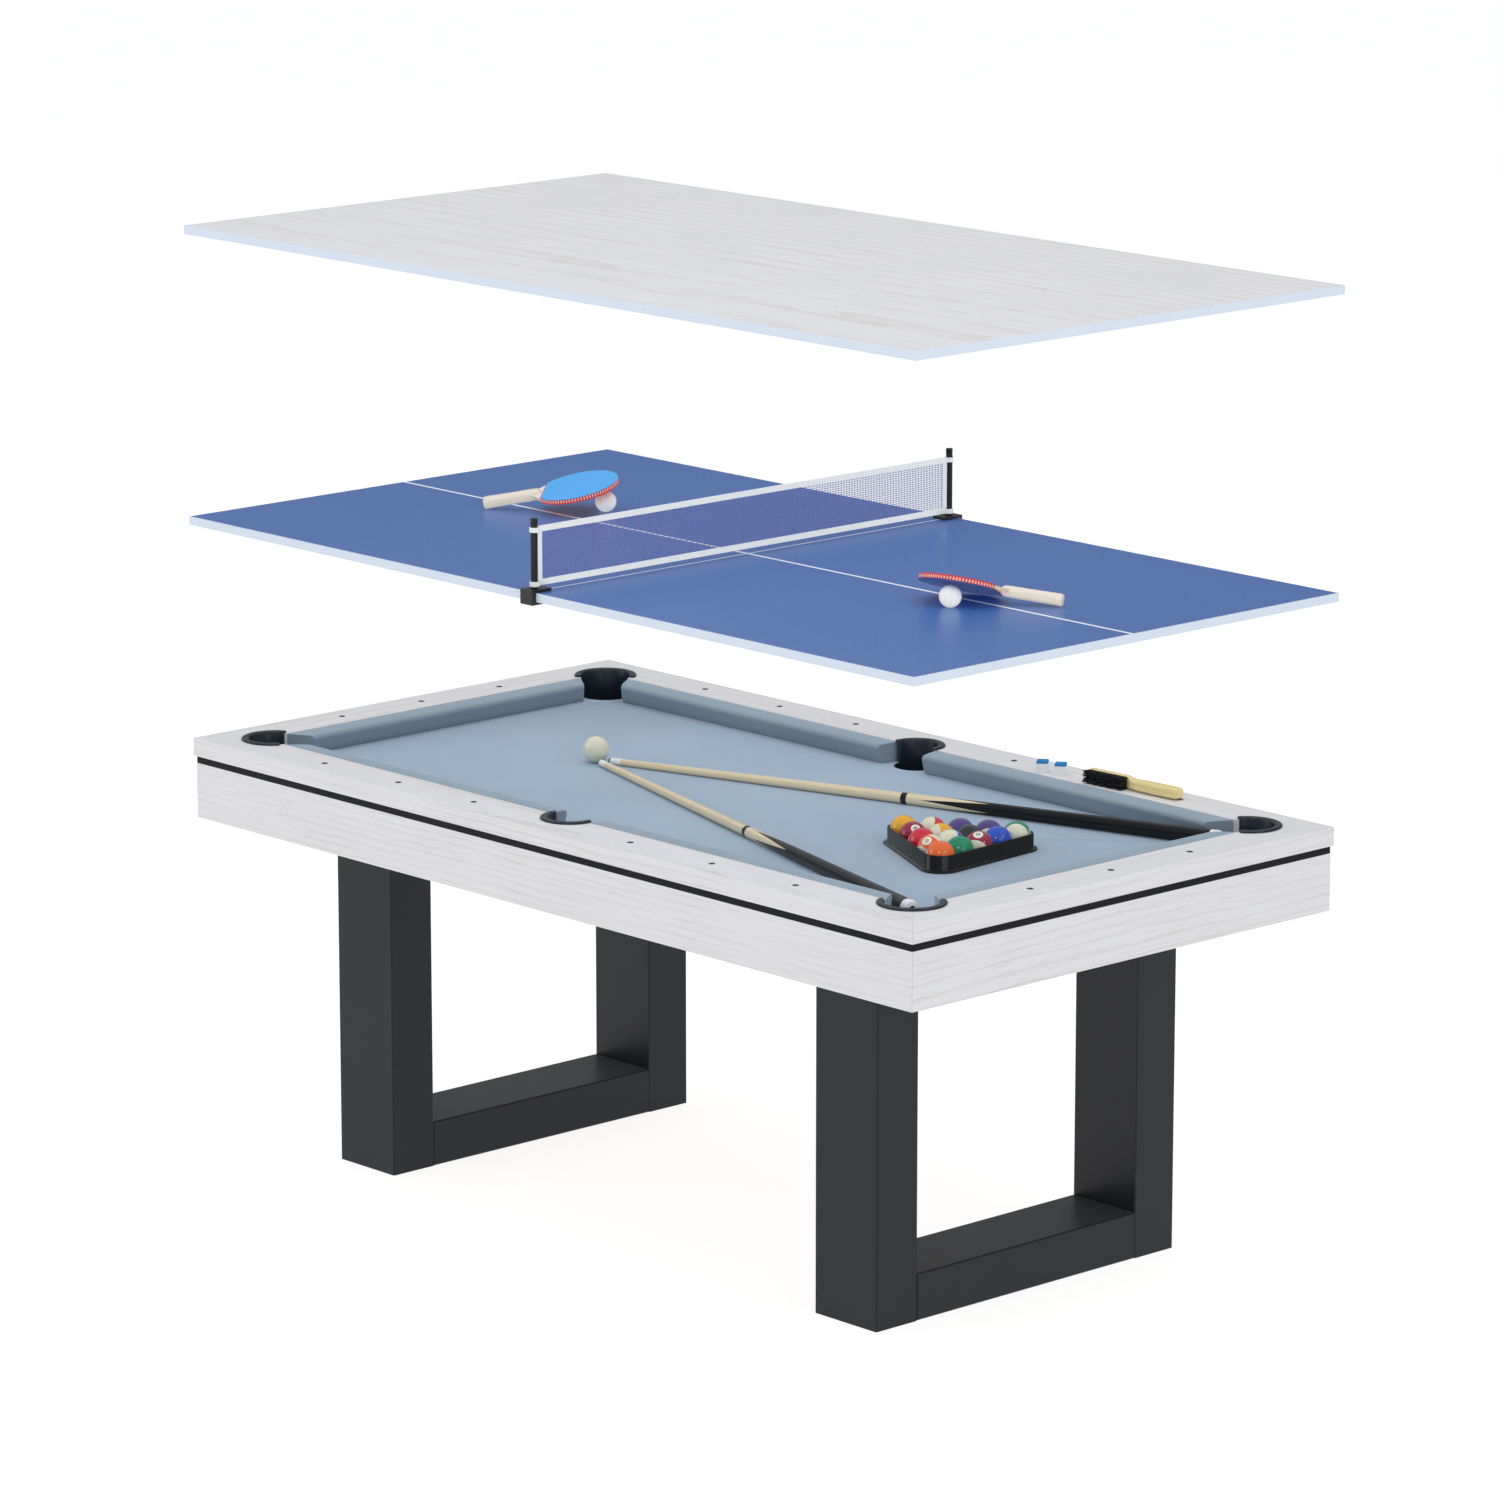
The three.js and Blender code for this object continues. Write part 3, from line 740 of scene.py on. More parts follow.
def make_sights():
    """Glossy dark discs let into the rails."""
    def build(tree, given):
        disc = add_node(
            tree, "GeometryNodeMeshCylinder",
            {"Vertices": 28, "Radius": given["Radius"], "Depth": given["Height"]},
        )
        return on_points(tree, given["Geometry"], disc.outputs["Mesh"])

    inputs = {"Radius": (FLOAT, sizes().sight), "Height": (FLOAT, 0.8 * MM)}
    acrylic = kept("polished_black_acrylic", gloss_abs, linear("#0C0E12"), 0.12)
    join_model(grow("rail_sights", sight_places(), build, inputs, acrylic), "table")


def make_bolts():
    """Zinc hex heads that hold the cross members and the legs, seen from below."""
    places = []
    for end in ENDS:
        low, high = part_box(f"cross_member_{end}")
        for x in (low.x + 0.03, high.x - 0.03):
            places += [(x, sign * reach, low.z - 1.5 * MM) for sign in (-1, 1) for reach in (0.12, 0.44)]
    low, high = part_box("cross_member_middle")
    places += [((low.x + high.x) / 2, y, low.z - 1.5 * MM) for y in (-0.32, -0.1, 0.1, 0.32)]

    def build(tree, given):
        head = add_node(
            tree, "GeometryNodeMeshCylinder",
            {"Vertices": 6, "Radius": given["Radius"], "Depth": 5 * MM},
        )
        washer = add_node(
            tree, "GeometryNodeMeshCylinder",
            {"Vertices": 24, "Radius": given["Washer radius"], "Depth": 1.6 * MM},
        )
        both = join_outputs(tree, [part.outputs["Mesh"] for part in (head, washer)])
        return on_points(tree, given["Geometry"], both)

    inputs = {"Radius": (FLOAT, 7.5 * MM), "Washer radius": (FLOAT, 11 * MM)}
    piece = grow("frame_bolts", places, build, inputs, kept("zinc_plated_steel", zinc_plate))
    join_model(piece, "table")


def copy_of(node):
    """A merged copy of a CAD node's mesh, ready to become a piece."""
    shape = new_shape()
    shape.from_mesh(bpy.data.objects[node].data)
    bmesh.ops.remove_doubles(shape, verts=shape.verts, dist=1e-6)
    for face in shape.faces:
        face.material_index = 0
    return shape


def make_bed_cloth():
    """The playing cloth, stretched over the bed board and cut out at the pockets."""
    cloth = make_piece(
        "bed_cloth_worsted", settle(copy_of("bed_cloth")),
        [kept("worsted_cloth_bed", worsted_cloth, tuple(colours().cloth), "#94A8BC")],
        "table", ["bed_cloth"], recalculate=False,
    )


def cushion_section(reach, low, high):
    """The cushion's section, from the wood out to a round nose and back under: (out, height)."""
    nose = Vector((reach - 7 * MM, high - 8.5 * MM))
    points = [(0.0, low), (0.0, high - 0.6 * MM), (2 * MM, high)]
    points += [(reach * share, high - drop * MM) for share, drop in ((0.3, 0.15), (0.6, 0.5), (0.75, 1.1))]
    for degrees in range(75, -31, -15):
        angle = math.radians(degrees)
        points.append((nose.x + 7 * MM * math.cos(angle), nose.y + 7 * MM * math.sin(angle)))
    points += [(reach - 4.5 * MM, low + 14 * MM), (reach - 9 * MM, low + 1 * MM), (reach - 10 * MM, low)]
    return points


def make_cushions():
    """Six rubber rails wrapped in cloth, their ends cut back towards the pockets."""
    # The bed's cloth in a darker, greyer copy: painted shade on the cushion faces.
    cloth = kept("worsted_cloth_cushions", worsted_cloth, tuple(colours().cushion), "#7A8B98")
    splay = {"corner": 30 * MM, "middle": 8 * MM}
    ends = {
        "near_left": ("corner", "middle"), "near_right": ("middle", "corner"),
        "far_left": ("corner", "middle"), "far_right": ("middle", "corner"),
        "end_left": ("corner", "corner"), "end_right": ("corner", "corner"),
    }
    for name, (first, last) in ends.items():
        low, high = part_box(f"cushion_{name}")
        along = 1 if name.startswith("end") else 0
        across = 1 - along
        inward = -1 if (low[across] + high[across]) > 0 else 1
        wood = low[across] if inward > 0 else high[across]
        reach = high[across] - low[across]
        section = cushion_section(reach, low.z, high.z)
        rings = []
        steps = 24
        for i in range(steps + 1):
            share = i / steps
            ring = []
            for out, height in section:
                cut = out / reach
                start = low[along] + splay[first] * cut
                stop = high[along] - splay[last] * cut
                point = [0.0, 0.0, height]
                point[along] = start + (stop - start) * share
                point[across] = wood + inward * out
                ring.append(point)
            rings.append(ring)
        shape = new_shape()
        add_loft(shape, rings)
        piece = make_piece(
            f"cushion_{name}_wrapped", settle(shape), [cloth], "table", [f"cushion_{name}"],
            crease=50, bevel=1.2 * MM,
        )


def pocket_measures(name):
    """The pocket's middle, its flange and bore radii, the way it faces and its collar's half arc."""
    low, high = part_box(f"pocket_{name}")
    side, end = name.split("_")
    flange, bore, half_arc = MIDDLE_POCKET if end == "middle" else CORNER_POCKET
    y = low.y + flange if side == "near" else high.y - flange
    if end == "middle":
        return Vector((0.0, y)), flange, bore, math.copysign(math.pi / 2, -y), half_arc
    x = low.x + flange if end == "left" else high.x - flange
    inward = math.atan2(-math.copysign(1, y), -math.copysign(1, x))
    return Vector((x, y)), flange, bore, inward, half_arc


def make_pockets():
    """Moulded drop pockets: a round cup below the cloth and a collar with a C-shaped flange above it."""
    plastic = kept("gloss_moulded_abs", gloss_abs, tuple(colours().pocket), 0.28)
    for name in POCKETS:
        middle, flange, bore, facing, half_arc = pocket_measures(name)
        low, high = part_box(f"pocket_{name}")
        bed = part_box("bed_cloth")[1].z
        wall = POCKET_WALL
        shape = new_shape()
        floor = low.z
        cup = [
            (2 * MM, floor), (bore - 6 * MM, floor), (bore, floor + 2 * MM), (bore + wall, floor + 8 * MM),
            (bore + wall, bed - 1.2 * MM), (bore + wall / 2, bed - 0.4 * MM), (bore, bed - 1.2 * MM),
            (bore, floor + 10 * MM), (bore - 6 * MM, floor + 4 * MM), (2 * MM, floor + 3 * MM),
        ]
        add_turned(shape, cup, 64)
        top = high.z
        section = [
            (bore, bed - 2 * MM), (bore + wall, bed - 2 * MM), (bore + wall, top - 4 * MM),
            (flange - 0.4 * MM, top - 4 * MM), (flange, top - 3.2 * MM), (flange - 0.3 * MM, top - 2 * MM),
            (flange - 1.4 * MM, top - 0.8 * MM), (flange - 3.2 * MM, top - 0.1 * MM), (flange - 5 * MM, top),
            (bore + 3.5 * MM, top - 0.2 * MM), (bore + 1.2 * MM, top - 1.2 * MM), (bore, top - 3.4 * MM),
        ]
        centre_line = (flange + bore) / 2
        rings = []
        steps = 60
        round_off = 6.0
        for i in range(steps + 1):
            degrees = -half_arc + 2 * half_arc * i / steps
            spare = half_arc - abs(degrees)
            share = 1.0 if spare >= round_off else math.sqrt(max(0.05, 1 - (1 - spare / round_off) ** 2))
            angle = facing + math.pi + math.radians(degrees)
            rings.append([
                (
                    (centre_line + (radius - centre_line) * share) * math.cos(angle),
                    (centre_line + (radius - centre_line) * share) * math.sin(angle),
                    height,
                )
                for radius, height in section
            ])
        add_loft(shape, rings)
        bmesh.ops.translate(shape, vec=(middle.x, middle.y, 0), verts=shape.verts)
        make_piece(
            f"pocket_{name}_moulding", settle(shape), [plastic], "table",
            [f"pocket_{name}"], crease=40,
        )


# ---------------------------------------------------------------- conversion tops


def make_panel(kind, end, body, face):
    """One half of a top: a board with edge banding let in flush all round, its arrises eased."""
    low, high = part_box(f"{kind}_panel_{end}")
    band = sizes().band
    ease = 0.5 * MM
    rings = []
    for inset, height in (
        (ease, low.z), (0.0, low.z + ease), (0.0, high.z - ease), (ease, high.z), (band, high.z)
    ):
        x0, x1, y0, y1 = low.x + inset, high.x - inset, low.y + inset, high.y - inset
        rings.append([(x0, y0, height), (x1, y0, height), (x1, y1, height), (x0, y1, height)])
    shape = new_shape()
    faces = add_loft(shape, rings)
    faces[-1].material_index = 1
    faces[-2].material_index = 2
    materials = [kept("abs_edge_band", edge_band), face, kept("backing_foil", backing_foil)]
    panel = make_piece(
        f"{kind}_board_{end}", settle(shape), materials, body, [f"{kind}_panel_{end}"], crease=30
    )
    # A top hangs clear in the air and lets the studio light past, as if each layer stood alone.
    panel.visible_shadow = False
    panel.visible_diffuse = False
    return panel


def make_tennis_top():
    """The two blue panels and their printed centre line."""
    blue = kept("blue_roller_paint", painted_top)
    ink = kept("white_screen_ink", screen_ink)
    half = sizes().line / 2
    for end in ENDS:
        make_panel("tennis", end, "tennis_top", blue)
        low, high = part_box(f"tennis_panel_{end}")
        shape = new_shape()
        margin = sizes().band
        add_box(
            shape, (low.x + margin, -half, high.z - 0.2 * MM), (high.x - margin, half, high.z + 0.15 * MM)
        )
        make_piece(f"centre_line_{end}", settle(shape), [ink], "tennis_top")
    clip_plastic = kept("satin_moulded_plastic", satin_plastic)
    for side in ("near", "far"):
        finish_node(f"net_clamp_{side}", clip_plastic)


def make_dining_top():
    """The two whitewashed panels."""
    laminate = kept("whitewashed_laminate_lengthwise", whitewashed_laminate, 0)
    for end in ENDS:
        make_panel("dining", end, "dining_top", laminate)


def make_net():
    """Knotless twine netting, its tapes, straps and stitches."""
    low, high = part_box("net")
    gap = sizes().mesh_gap
    thread = sizes().thread
    width, height = high.y - low.y, high.z - low.z
    middle = (low + high) / 2

    def build(tree, given):
        rows = []
        for count, step, size in (("Uprights", "Along", "Upright size"), ("Levels", "Up", "Level size")):
            line = add_node(
                tree, "GeometryNodeMeshLine",
                {"Count": given[count], "Start Location": given[f"{count} start"], "Offset": given[step]},
            )
            bar = add_node(tree, "GeometryNodeMeshCube", {"Size": given[size]})
            rows.append(on_points(tree, line.outputs["Mesh"], bar.outputs["Mesh"]))
        return join_outputs(tree, rows)

    uprights, levels = int(width / gap), int(height / gap)
    inputs = {
        "Uprights": (WHOLE, uprights),
        "Uprights start": (VECTOR, (0.0, low.y + gap / 2, middle.z)),
        "Along": (VECTOR, (0.0, gap, 0.0)),
        "Upright size": (VECTOR, (thread, thread, height - 1 * MM)),
        "Levels": (WHOLE, levels),
        "Levels start": (VECTOR, (0.0, middle.y, low.z + gap / 2)),
        "Up": (VECTOR, (0.0, 0.0, gap)),
        "Level size": (VECTOR, (thread, width - 1 * MM, thread)),
    }
    net = grow("net_mesh", [(0, 0, 0)], build, inputs, kept("net_twine", net_twine))
    join_model(net, "net_set", ["net"])

    tape_cloth = kept("woven_cotton_tape", woven_tape)
    tape = sizes().tape
    half = 1.1 * MM
    runs = {
        "top": ((-half, low.y, high.z - tape), (half, high.y, high.z)),
        "bottom": ((-half, low.y, low.z), (half, high.y, low.z + tape)),
        "near": ((-half * 1.2, low.y, low.z + tape * 0.5), (half * 1.2, low.y + tape, high.z - tape * 0.5)),
        "far": ((-half * 1.2, high.y - tape, low.z + tape * 0.5), (half * 1.2, high.y, high.z - tape * 0.5)),
    }
    shape = new_shape()
    for run_low, run_high in runs.values():
        add_box(shape, run_low, run_high)
    tapes = make_piece(
        "net_tapes", settle(shape), [tape_cloth], "net_set", bevel=0.5 * MM
    )
    shape = new_shape()
    for side in ("near", "far"):
        post_low, post_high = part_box(f"net_post_{side}")
        centre = (post_low + post_high) / 2
        inner = (post_high.x - post_low.x) / 2 + 0.6 * MM
        towards = 1 if side == "near" else -1
        for base in (low.z, high.z - tape * 0.9):
            strap = []
            outer, brim = inner + 1.2 * MM, base + tape * 0.8
            for radius, level in ((inner, base), (outer, base), (outer, brim), (inner, brim)):
                ring = []
                for i in range(40):
                    angle = TURN * i / 40
                    x, y = radius * math.cos(angle), radius * math.sin(angle)
                    if y * towards > 0:
                        y *= 1.0 + 0.25 * abs(math.sin(angle))
                    ring.append((centre.x + x, centre.y + y, level))
                strap.append(ring)
            add_loft(shape, strap, closed=True)
    straps = make_piece("net_straps", settle(shape), [tape_cloth], "net_set")
    stitches = make_stitches(low, high, tape)


def make_stitches(low, high, tape):
    """Rows of short stitches along both edges of the top and bottom tapes, on both faces."""
    length = sizes().stitch
    pitch = length * 1.6
    count = int((high.y - low.y - 20 * MM) / pitch)
    places = []
    for base in (low.z, high.z - tape):
        for height in (base + 1.6 * MM, base + tape - 1.6 * MM):
            for face in (-1.15 * MM, 1.15 * MM):
                places += [(face, low.y + 10 * MM + i * pitch, height) for i in range(count)]

    def build(tree, given):
        stitch = add_node(tree, "GeometryNodeMeshCube", {"Size": given["Stitch size"]})
        return on_points(tree, given["Geometry"], stitch.outputs["Mesh"])

    inputs = {"Stitch size": (VECTOR, (0.35 * MM, length, 0.4 * MM))}
    piece = grow("net_stitches", places, build, inputs, kept("woven_cotton_tape", woven_tape))
    return join_model(piece, "net_set")


def make_net_posts():
    """Fluted plastic posts with a flat cap and a collar at the foot."""
    plastic = kept("satin_moulded_plastic", satin_plastic)
    flutes, steps = 12, 96
    for side in ("near", "far"):
        low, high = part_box(f"net_post_{side}")
        centre = (low + high) / 2
        radius = (high.x - low.x) / 2
        shape = new_shape()

        def ring(height, depth, scale=1.0):
            points = []
            for i in range(steps):
                angle = TURN * i / steps
                r = radius * scale - depth * (0.5 - 0.5 * math.cos(flutes * angle))
                points.append((centre.x + r * math.cos(angle), centre.y + r * math.sin(angle), height))
            return points

        add_loft(shape, [
            ring(low.z, 0.0), ring(low.z + 3 * MM, 0.0), ring(low.z + 3.6 * MM, 0.9 * MM, 0.97),
            ring(high.z - 5 * MM, 0.9 * MM, 0.97), ring(high.z - 4.4 * MM, 0.0), ring(high.z - 1 * MM, 0.0),
            ring(high.z, 0.0, 0.86),
        ])
        make_piece(
            f"net_post_{side}_fluted", settle(shape), [plastic], "net_set",
            [f"net_post_{side}"], crease=40,
        )


# ---------------------------------------------------------------- paddles and their balls

PADDLE_HALF_LENGTH = 78 * MM
PADDLE_HALF_WIDTH = 75 * MM
# The handle's stations, in millimetres: along the paddle, half its width and half its thickness.
PADDLE_HANDLE = (
    (-70, 7.0, 4.0), (-73, 11.5, 8.0), (-78, 13.0, 10.0), (-90, 13.0, 10.6), (-120, 12.4, 10.6),
    (-150, 12.8, 10.7), (-170, 13.7, 10.9), (-178.5, 14.0, 11.0), (-180.4, 13.4, 10.4), (-181, 12.2, 9.2),
)
PADDLES = {
    "1": {"yaw": 38, "pitch": 11, "roll": 9, "upper": "light_blue", "lower": "red", "slot": "blue_rubber"},
    "2": {"yaw": 212, "pitch": 6, "roll": 19, "upper": "red", "lower": "deep_blue", "slot": "red_rubber"},
}


def blade_outline(from_angle, steps=72):
    """The blade's oval, open towards the handle from this angle, in degrees from the tip."""
    points = []
    for i in range(steps + 1):
        angle = math.radians(-from_angle + 2 * from_angle * i / steps)
        points.append((PADDLE_HALF_LENGTH * math.cos(angle), PADDLE_HALF_WIDTH * math.sin(angle)))
    return points


def make_paddles():
    """Two bats: a plywood blade with rubber on both faces, a taped edge and a flared handle."""
    ply = kept("blade_plywood", plywood_edge)
    edge_tape = kept("red_edge_tape", edging_tape)
    handle_wood = kept(
        "varnished_poplar", varnished_wood, colours().handle, linear("#DCCDB8"), 0, 0.005, 0.4
    )
    for name, lean in PADDLES.items():
        rubbers = [
            kept(f"sheet_rubber_{lean[face]}", bat_rubber, tuple(getattr(colours(), lean[face])))
            for face in ("upper", "lower")
        ]
        shape = new_shape()
        rubber_cut = blade_outline(146)
        add_prism(shape, rubber_cut, 3.4 * MM, 5.0 * MM, 0, 0.3 * MM)
        add_prism(shape, rubber_cut, -5.0 * MM, -3.4 * MM, 1, 0.3 * MM)
        add_prism(shape, blade_outline(149), -3.6 * MM, 3.6 * MM, 4, 0.3 * MM)
        neck = [(-86 * MM, 13.5 * MM), (-86 * MM, -13.5 * MM)]
        add_prism(shape, blade_outline(152) + neck, -2.8 * MM, 2.8 * MM, 2, 0.3 * MM)
        add_loft(shape, [
            boxy_ring(along, (0, 0), (half_width, half_thick), 0.72, 36)
            for along, half_width, half_thick in PADDLE_HANDLE
        ], 3)
        turn = (
            Matrix.Rotation(math.radians(lean["yaw"]), 4, "Z")
            @ Matrix.Rotation(math.radians(-lean["pitch"]), 4, "Y")
            @ Matrix.Rotation(math.radians(lean["roll"]), 4, "X")
        )
        settle(shape, turn, centre_on=f"paddle_{name}")
        make_piece(
            f"bat_{name}", shape, [*rubbers, ply, handle_wood, edge_tape], f"paddle_{name}",
            [f"paddle_{name}"], crease=40,
        )


def add_ball(shape, radius, segments=48, rings=36):
    bmesh.ops.create_uvsphere(shape, u_segments=segments, v_segments=rings, radius=radius)


def make_tennis_balls():
    """Two matt white balls with the faint ridge of their seam."""
    white = kept("matt_celluloid", celluloid)
    for name in PADDLES:
        node = f"table_tennis_ball_{name}"
        low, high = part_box(node)
        radius = (high.z - low.z) / 2
        shape = new_shape()
        add_ball(shape, radius * 0.998)
        for vertex in shape.verts:
            if abs(vertex.co.z) < radius * 0.02:
                vertex.co *= 1.0 / 0.998
        settle(shape, Matrix.Rotation(math.radians(37), 4, "X"), centre_on=node)
        make_piece(f"{node}_shell", shape, [white], node, [node], crease=80)


# ---------------------------------------------------------------- pool balls and rack

BALL_COLOURS = {
    1: "#F2B01E", 2: "#1E4FC4", 3: "#D8213A", 4: "#4F3D86",
    5: "#F26A21", 6: "#0E8A63", 7: "#9A1B3E", 8: "#24272C",
}
BALL_PITCH = 51 * MM
STRIPE_HALF = 0.5     # sine of the latitude where a stripe ends
SPOT_RADIUS = 9.4 * MM

# Rack rows from the apex: number, then where its number spot and the top of its number face, each as
# (right, up, towards the front) for someone who stands at the table's front corner.
RACKED = (
    ((5, (1.0, -0.1, -0.1), (0, 1, 0)),),
    ((13, (-0.5, 0.35, 0.8), (0.6, 0.75, -0.3)), (6, (-0.88, -0.4, 0.25), (0, 1, 0))),
    (
        (3, (1.0, -0.1, 0.0), (0, 1, 0)), (10, (0.85, 0.1, -0.5), (-0.5, 0.6, 0.62)),
        (15, (-0.1, 0.72, 0.69), (0.3, 0.62, -0.72)),
    ),
    (
        (7, (0.2, 0.5, 0.84), (-0.75, 0.6, -0.2)), (9, (0.4, 0.2, -0.9), (-0.88, 0.1, 0.45)),
        (8, (1.0, 0.0, -0.2), (0, 1, 0)), (2, (1.0, 0.1, -0.2), (0, 1, 0)),
    ),
    (
        (1, (1.0, -0.2, 0.0), (0, 1, 0)), (11, (0.6, 0.2, -0.7), (-0.75, 0.5, 0.4)),
        (4, (1.0, 0.0, 0.0), (0, 1, 0)), (12, (1.0, 0.0, 0.0), (0, -0.6, 0.8)),
        (14, (0.85, 0.2, -0.5), (-0.12, -0.1, 0.98)),
    ),
)


def seen_from_front(direction):
    """A world direction from one given as (right, up, towards the front corner)."""
    back = Vector((
        math.sin(VIEW_AZIMUTH) * math.cos(VIEW_ELEVATION),
        -math.cos(VIEW_AZIMUTH) * math.cos(VIEW_ELEVATION),
        math.sin(VIEW_ELEVATION),
    ))
    right = Vector((0, 0, 1)).cross(back).normalized()
    up = back.cross(right)
    return (right * direction[0] + up * direction[1] + back * direction[2]).normalized()


def number_shape(number):
    """The flat triangles of a number, centred, as triples of (across, up) in metres."""
    text = bpy.data.curves.new("ball_number", "FONT")
    text.body = str(number)
    text.size = 11.5 * MM if number < 10 else 9.6 * MM
    text.align_x = "CENTER"
    text.align_y = "CENTER"
    text.resolution_u = 3
    holder = bpy.data.objects.new("ball_number", text)
    bpy.context.scene.collection.objects.link(holder)
    bpy.context.view_layer.update()
    mesh = bpy.data.meshes.new_from_object(holder.evaluated_get(bpy.context.evaluated_depsgraph_get()))
    bpy.data.objects.remove(holder)
    bpy.data.curves.remove(text)
    flat = bmesh.new()
    flat.from_mesh(mesh)
    bpy.data.meshes.remove(mesh)
    bmesh.ops.triangulate(flat, faces=flat.faces)
    for _ in range(2):
        long_edges = [e for e in flat.edges if e.calc_length() > 1.4 * MM]
        bmesh.ops.subdivide_edges(flat, edges=long_edges, cuts=1)
        bmesh.ops.triangulate(flat, faces=flat.faces)
    xs = [v.co.x for v in flat.verts]
    ys = [v.co.y for v in flat.verts]
    centre = Vector(((min(xs) + max(xs)) / 2, (min(ys) + max(ys)) / 2, 0))
    triangles = [[(v.co - centre).xy for v in face.verts] for face in flat.faces]
    flat.free()
    return triangles


def add_ball_number(shape, number, radius, sign):
    """A white spot and a black number on the ball's equator, each laid just over its surface."""
    def on_ball(across, up, height):
        arm = Vector((radius, across, up)).normalized() * (radius + height)
        return Vector((arm.x * sign, arm.y * sign, arm.z))

    centre = shape.verts.new(on_ball(0, 0, 0.04 * MM))
    last = None
    for step in (0.5, 0.85, 1.0):
        row = [
            shape.verts.new(on_ball(
                SPOT_RADIUS * step * math.cos(TURN * i / 32), SPOT_RADIUS * step * math.sin(TURN * i / 32),
                (0.04 if step < 1 else -0.02) * MM,
            ))
            for i in range(32)
        ]
        for i in range(32):
            j = (i + 1) % 32
            corners = (centre, row[i], row[j]) if last is None else (last[i], row[i], row[j], last[j])
            shape.faces.new(corners).material_index = 2
        last = row
    known = {}
    for triangle in number_shape(number):
        corners = []
        for point in triangle:
            key = (round(point.x, 6), round(point.y, 6))
            if key not in known:
                known[key] = shape.verts.new(on_ball(point.x, point.y, 0.09 * MM))
            corners.append(known[key])
        if len(set(corners)) == 3 and shape.faces.get(corners) is None:
            shape.faces.new(corners).material_index = 3


def rack_axes():
    """The rack's apex ball middle, the way back from the apex to the last row, and the way along a row."""
    low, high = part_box("ball_row_1")
    apex = (low + high) / 2
    low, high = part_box("ball_row_5")
    last = (low + high) / 2
    back = (last - apex).xy.normalized()
    return apex, back, Vector((back.y, -back.x)), (high.z - low.z) / 2


def make_racked_balls():
    """Fifteen numbered balls, solids and stripes, each turned its own way."""
    apex, back, along, radius = rack_axes()
    row_step = BALL_PITCH * math.sin(math.pi / 3)
    cream = kept("resin_cream", phenolic_resin, tuple(colours().cream))
    white = kept("resin_white", phenolic_resin, linear("#F3F2E6"))
    black = kept("resin_black_print", phenolic_resin, linear("#141518"))
    for row, balls in enumerate(RACKED):
        for i, (number, spot, pole) in enumerate(balls):
            hue = BALL_COLOURS[(number - 1) % 8 + 1]
            paint = kept(f"resin_{hue[1:]}", phenolic_resin, linear(hue))
            shape = new_shape()
            add_ball(shape, radius)
            for face in shape.faces:
                cap = number > 8 and abs(face.calc_center_median().z) > radius * STRIPE_HALF
                face.material_index = 0 if cap else 1
            for sign in (1, -1):
                add_ball_number(shape, number, radius, sign)
            up = seen_from_front(pole)
            facing = seen_from_front(spot)
            facing = (facing - up * facing.dot(up)).normalized()
            turn = Matrix((facing, up.cross(facing), up)).transposed().to_4x4()
            middle = apex.xy + back * row * row_step + along * (i - row / 2) * BALL_PITCH
            settle(shape, Matrix.Translation((middle.x, middle.y, apex.z)) @ turn)
            make_piece(
                f"pool_ball_{number}", shape, [cream, paint, white, black], "racked_balls",
                [f"ball_row_{row + 1}"], crease=80, recalculate=False,
            )


def make_cue_ball():
    """A plain cream ball."""
    low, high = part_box("cue_ball")
    shape = new_shape()
    add_ball(shape, (high.z - low.z) / 2, 64, 48)
    settle(shape, centre_on="cue_ball")
    cream = kept("resin_cream", phenolic_resin, tuple(colours().cream))
    make_piece("cue_ball_polished", shape, [cream], "cue_ball", ["cue_ball"], crease=80)


def make_rack():
    """A moulded triangle with round corners, a rolled top edge and a foot flange."""
    apex, back, _, _ = rack_axes()
    low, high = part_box("rack")
    reach = 4 * BALL_PITCH / math.sqrt(3)
    centre = apex.xy + back * reach
    inner = BALL_PITCH / 2 + 0.6 * MM
    base = low.z
    tall = high.z - low.z

    def ring(offset, height):
        points = []
        for corner in range(3):
            middle_angle = math.atan2(-back.y, -back.x) + corner * TURN / 3
            hub = centre + Vector((math.cos(middle_angle), math.sin(middle_angle))) * reach
            for i in range(17):
                angle = middle_angle - math.pi / 3 + (TURN / 3) * i / 16
                arm = Vector((math.cos(angle), math.sin(angle))) * offset
                points.append((*(hub + arm), base + height))
        return points

    wall = 4 * MM
    foot = 7 * MM
    section = (
        (inner, 0.4 * MM), (inner, tall - 1.5 * MM), (inner + 0.8 * MM, tall - 0.3 * MM),
        (inner + wall / 2, tall), (inner + wall - 0.8 * MM, tall - 0.3 * MM),
        (inner + wall, tall - 1.5 * MM), (inner + wall, 5 * MM),
        (inner + wall + 1.2 * MM, 3.4 * MM), (inner + wall + foot - 1 * MM, 2.9 * MM),
        (inner + wall + foot, 2 * MM), (inner + wall + foot, 0.5 * MM), (inner + wall + foot - 0.5 * MM, 0.0),
        (inner + 0.5 * MM, 0.0),
    )
    shape = new_shape()
    add_loft(shape, [ring(offset, height) for offset, height in section], closed=True)
    plastic = kept("gloss_rack_abs", gloss_abs, tuple(colours().black_plastic), 0.16)
    make_piece("rack_triangle", settle(shape), [plastic], "rack", ["rack"], crease=50)


# ---------------------------------------------------------------- cues, chalk and brush


def cue_frame(name):
    """The matrix that takes a cue turned about Z, tip at the origin, to where the cue lies."""
    joint = next(j for j in frame["joints"] if j["name"] == f"cue_{name}_shaft_turn")
    direction = Vector(joint["axis"]).normalized()
    turn = Vector((0, 0, 1)).rotation_difference(direction).to_matrix().to_4x4()
    return Matrix.Translation(Vector(joint["pos_m"])) @ turn


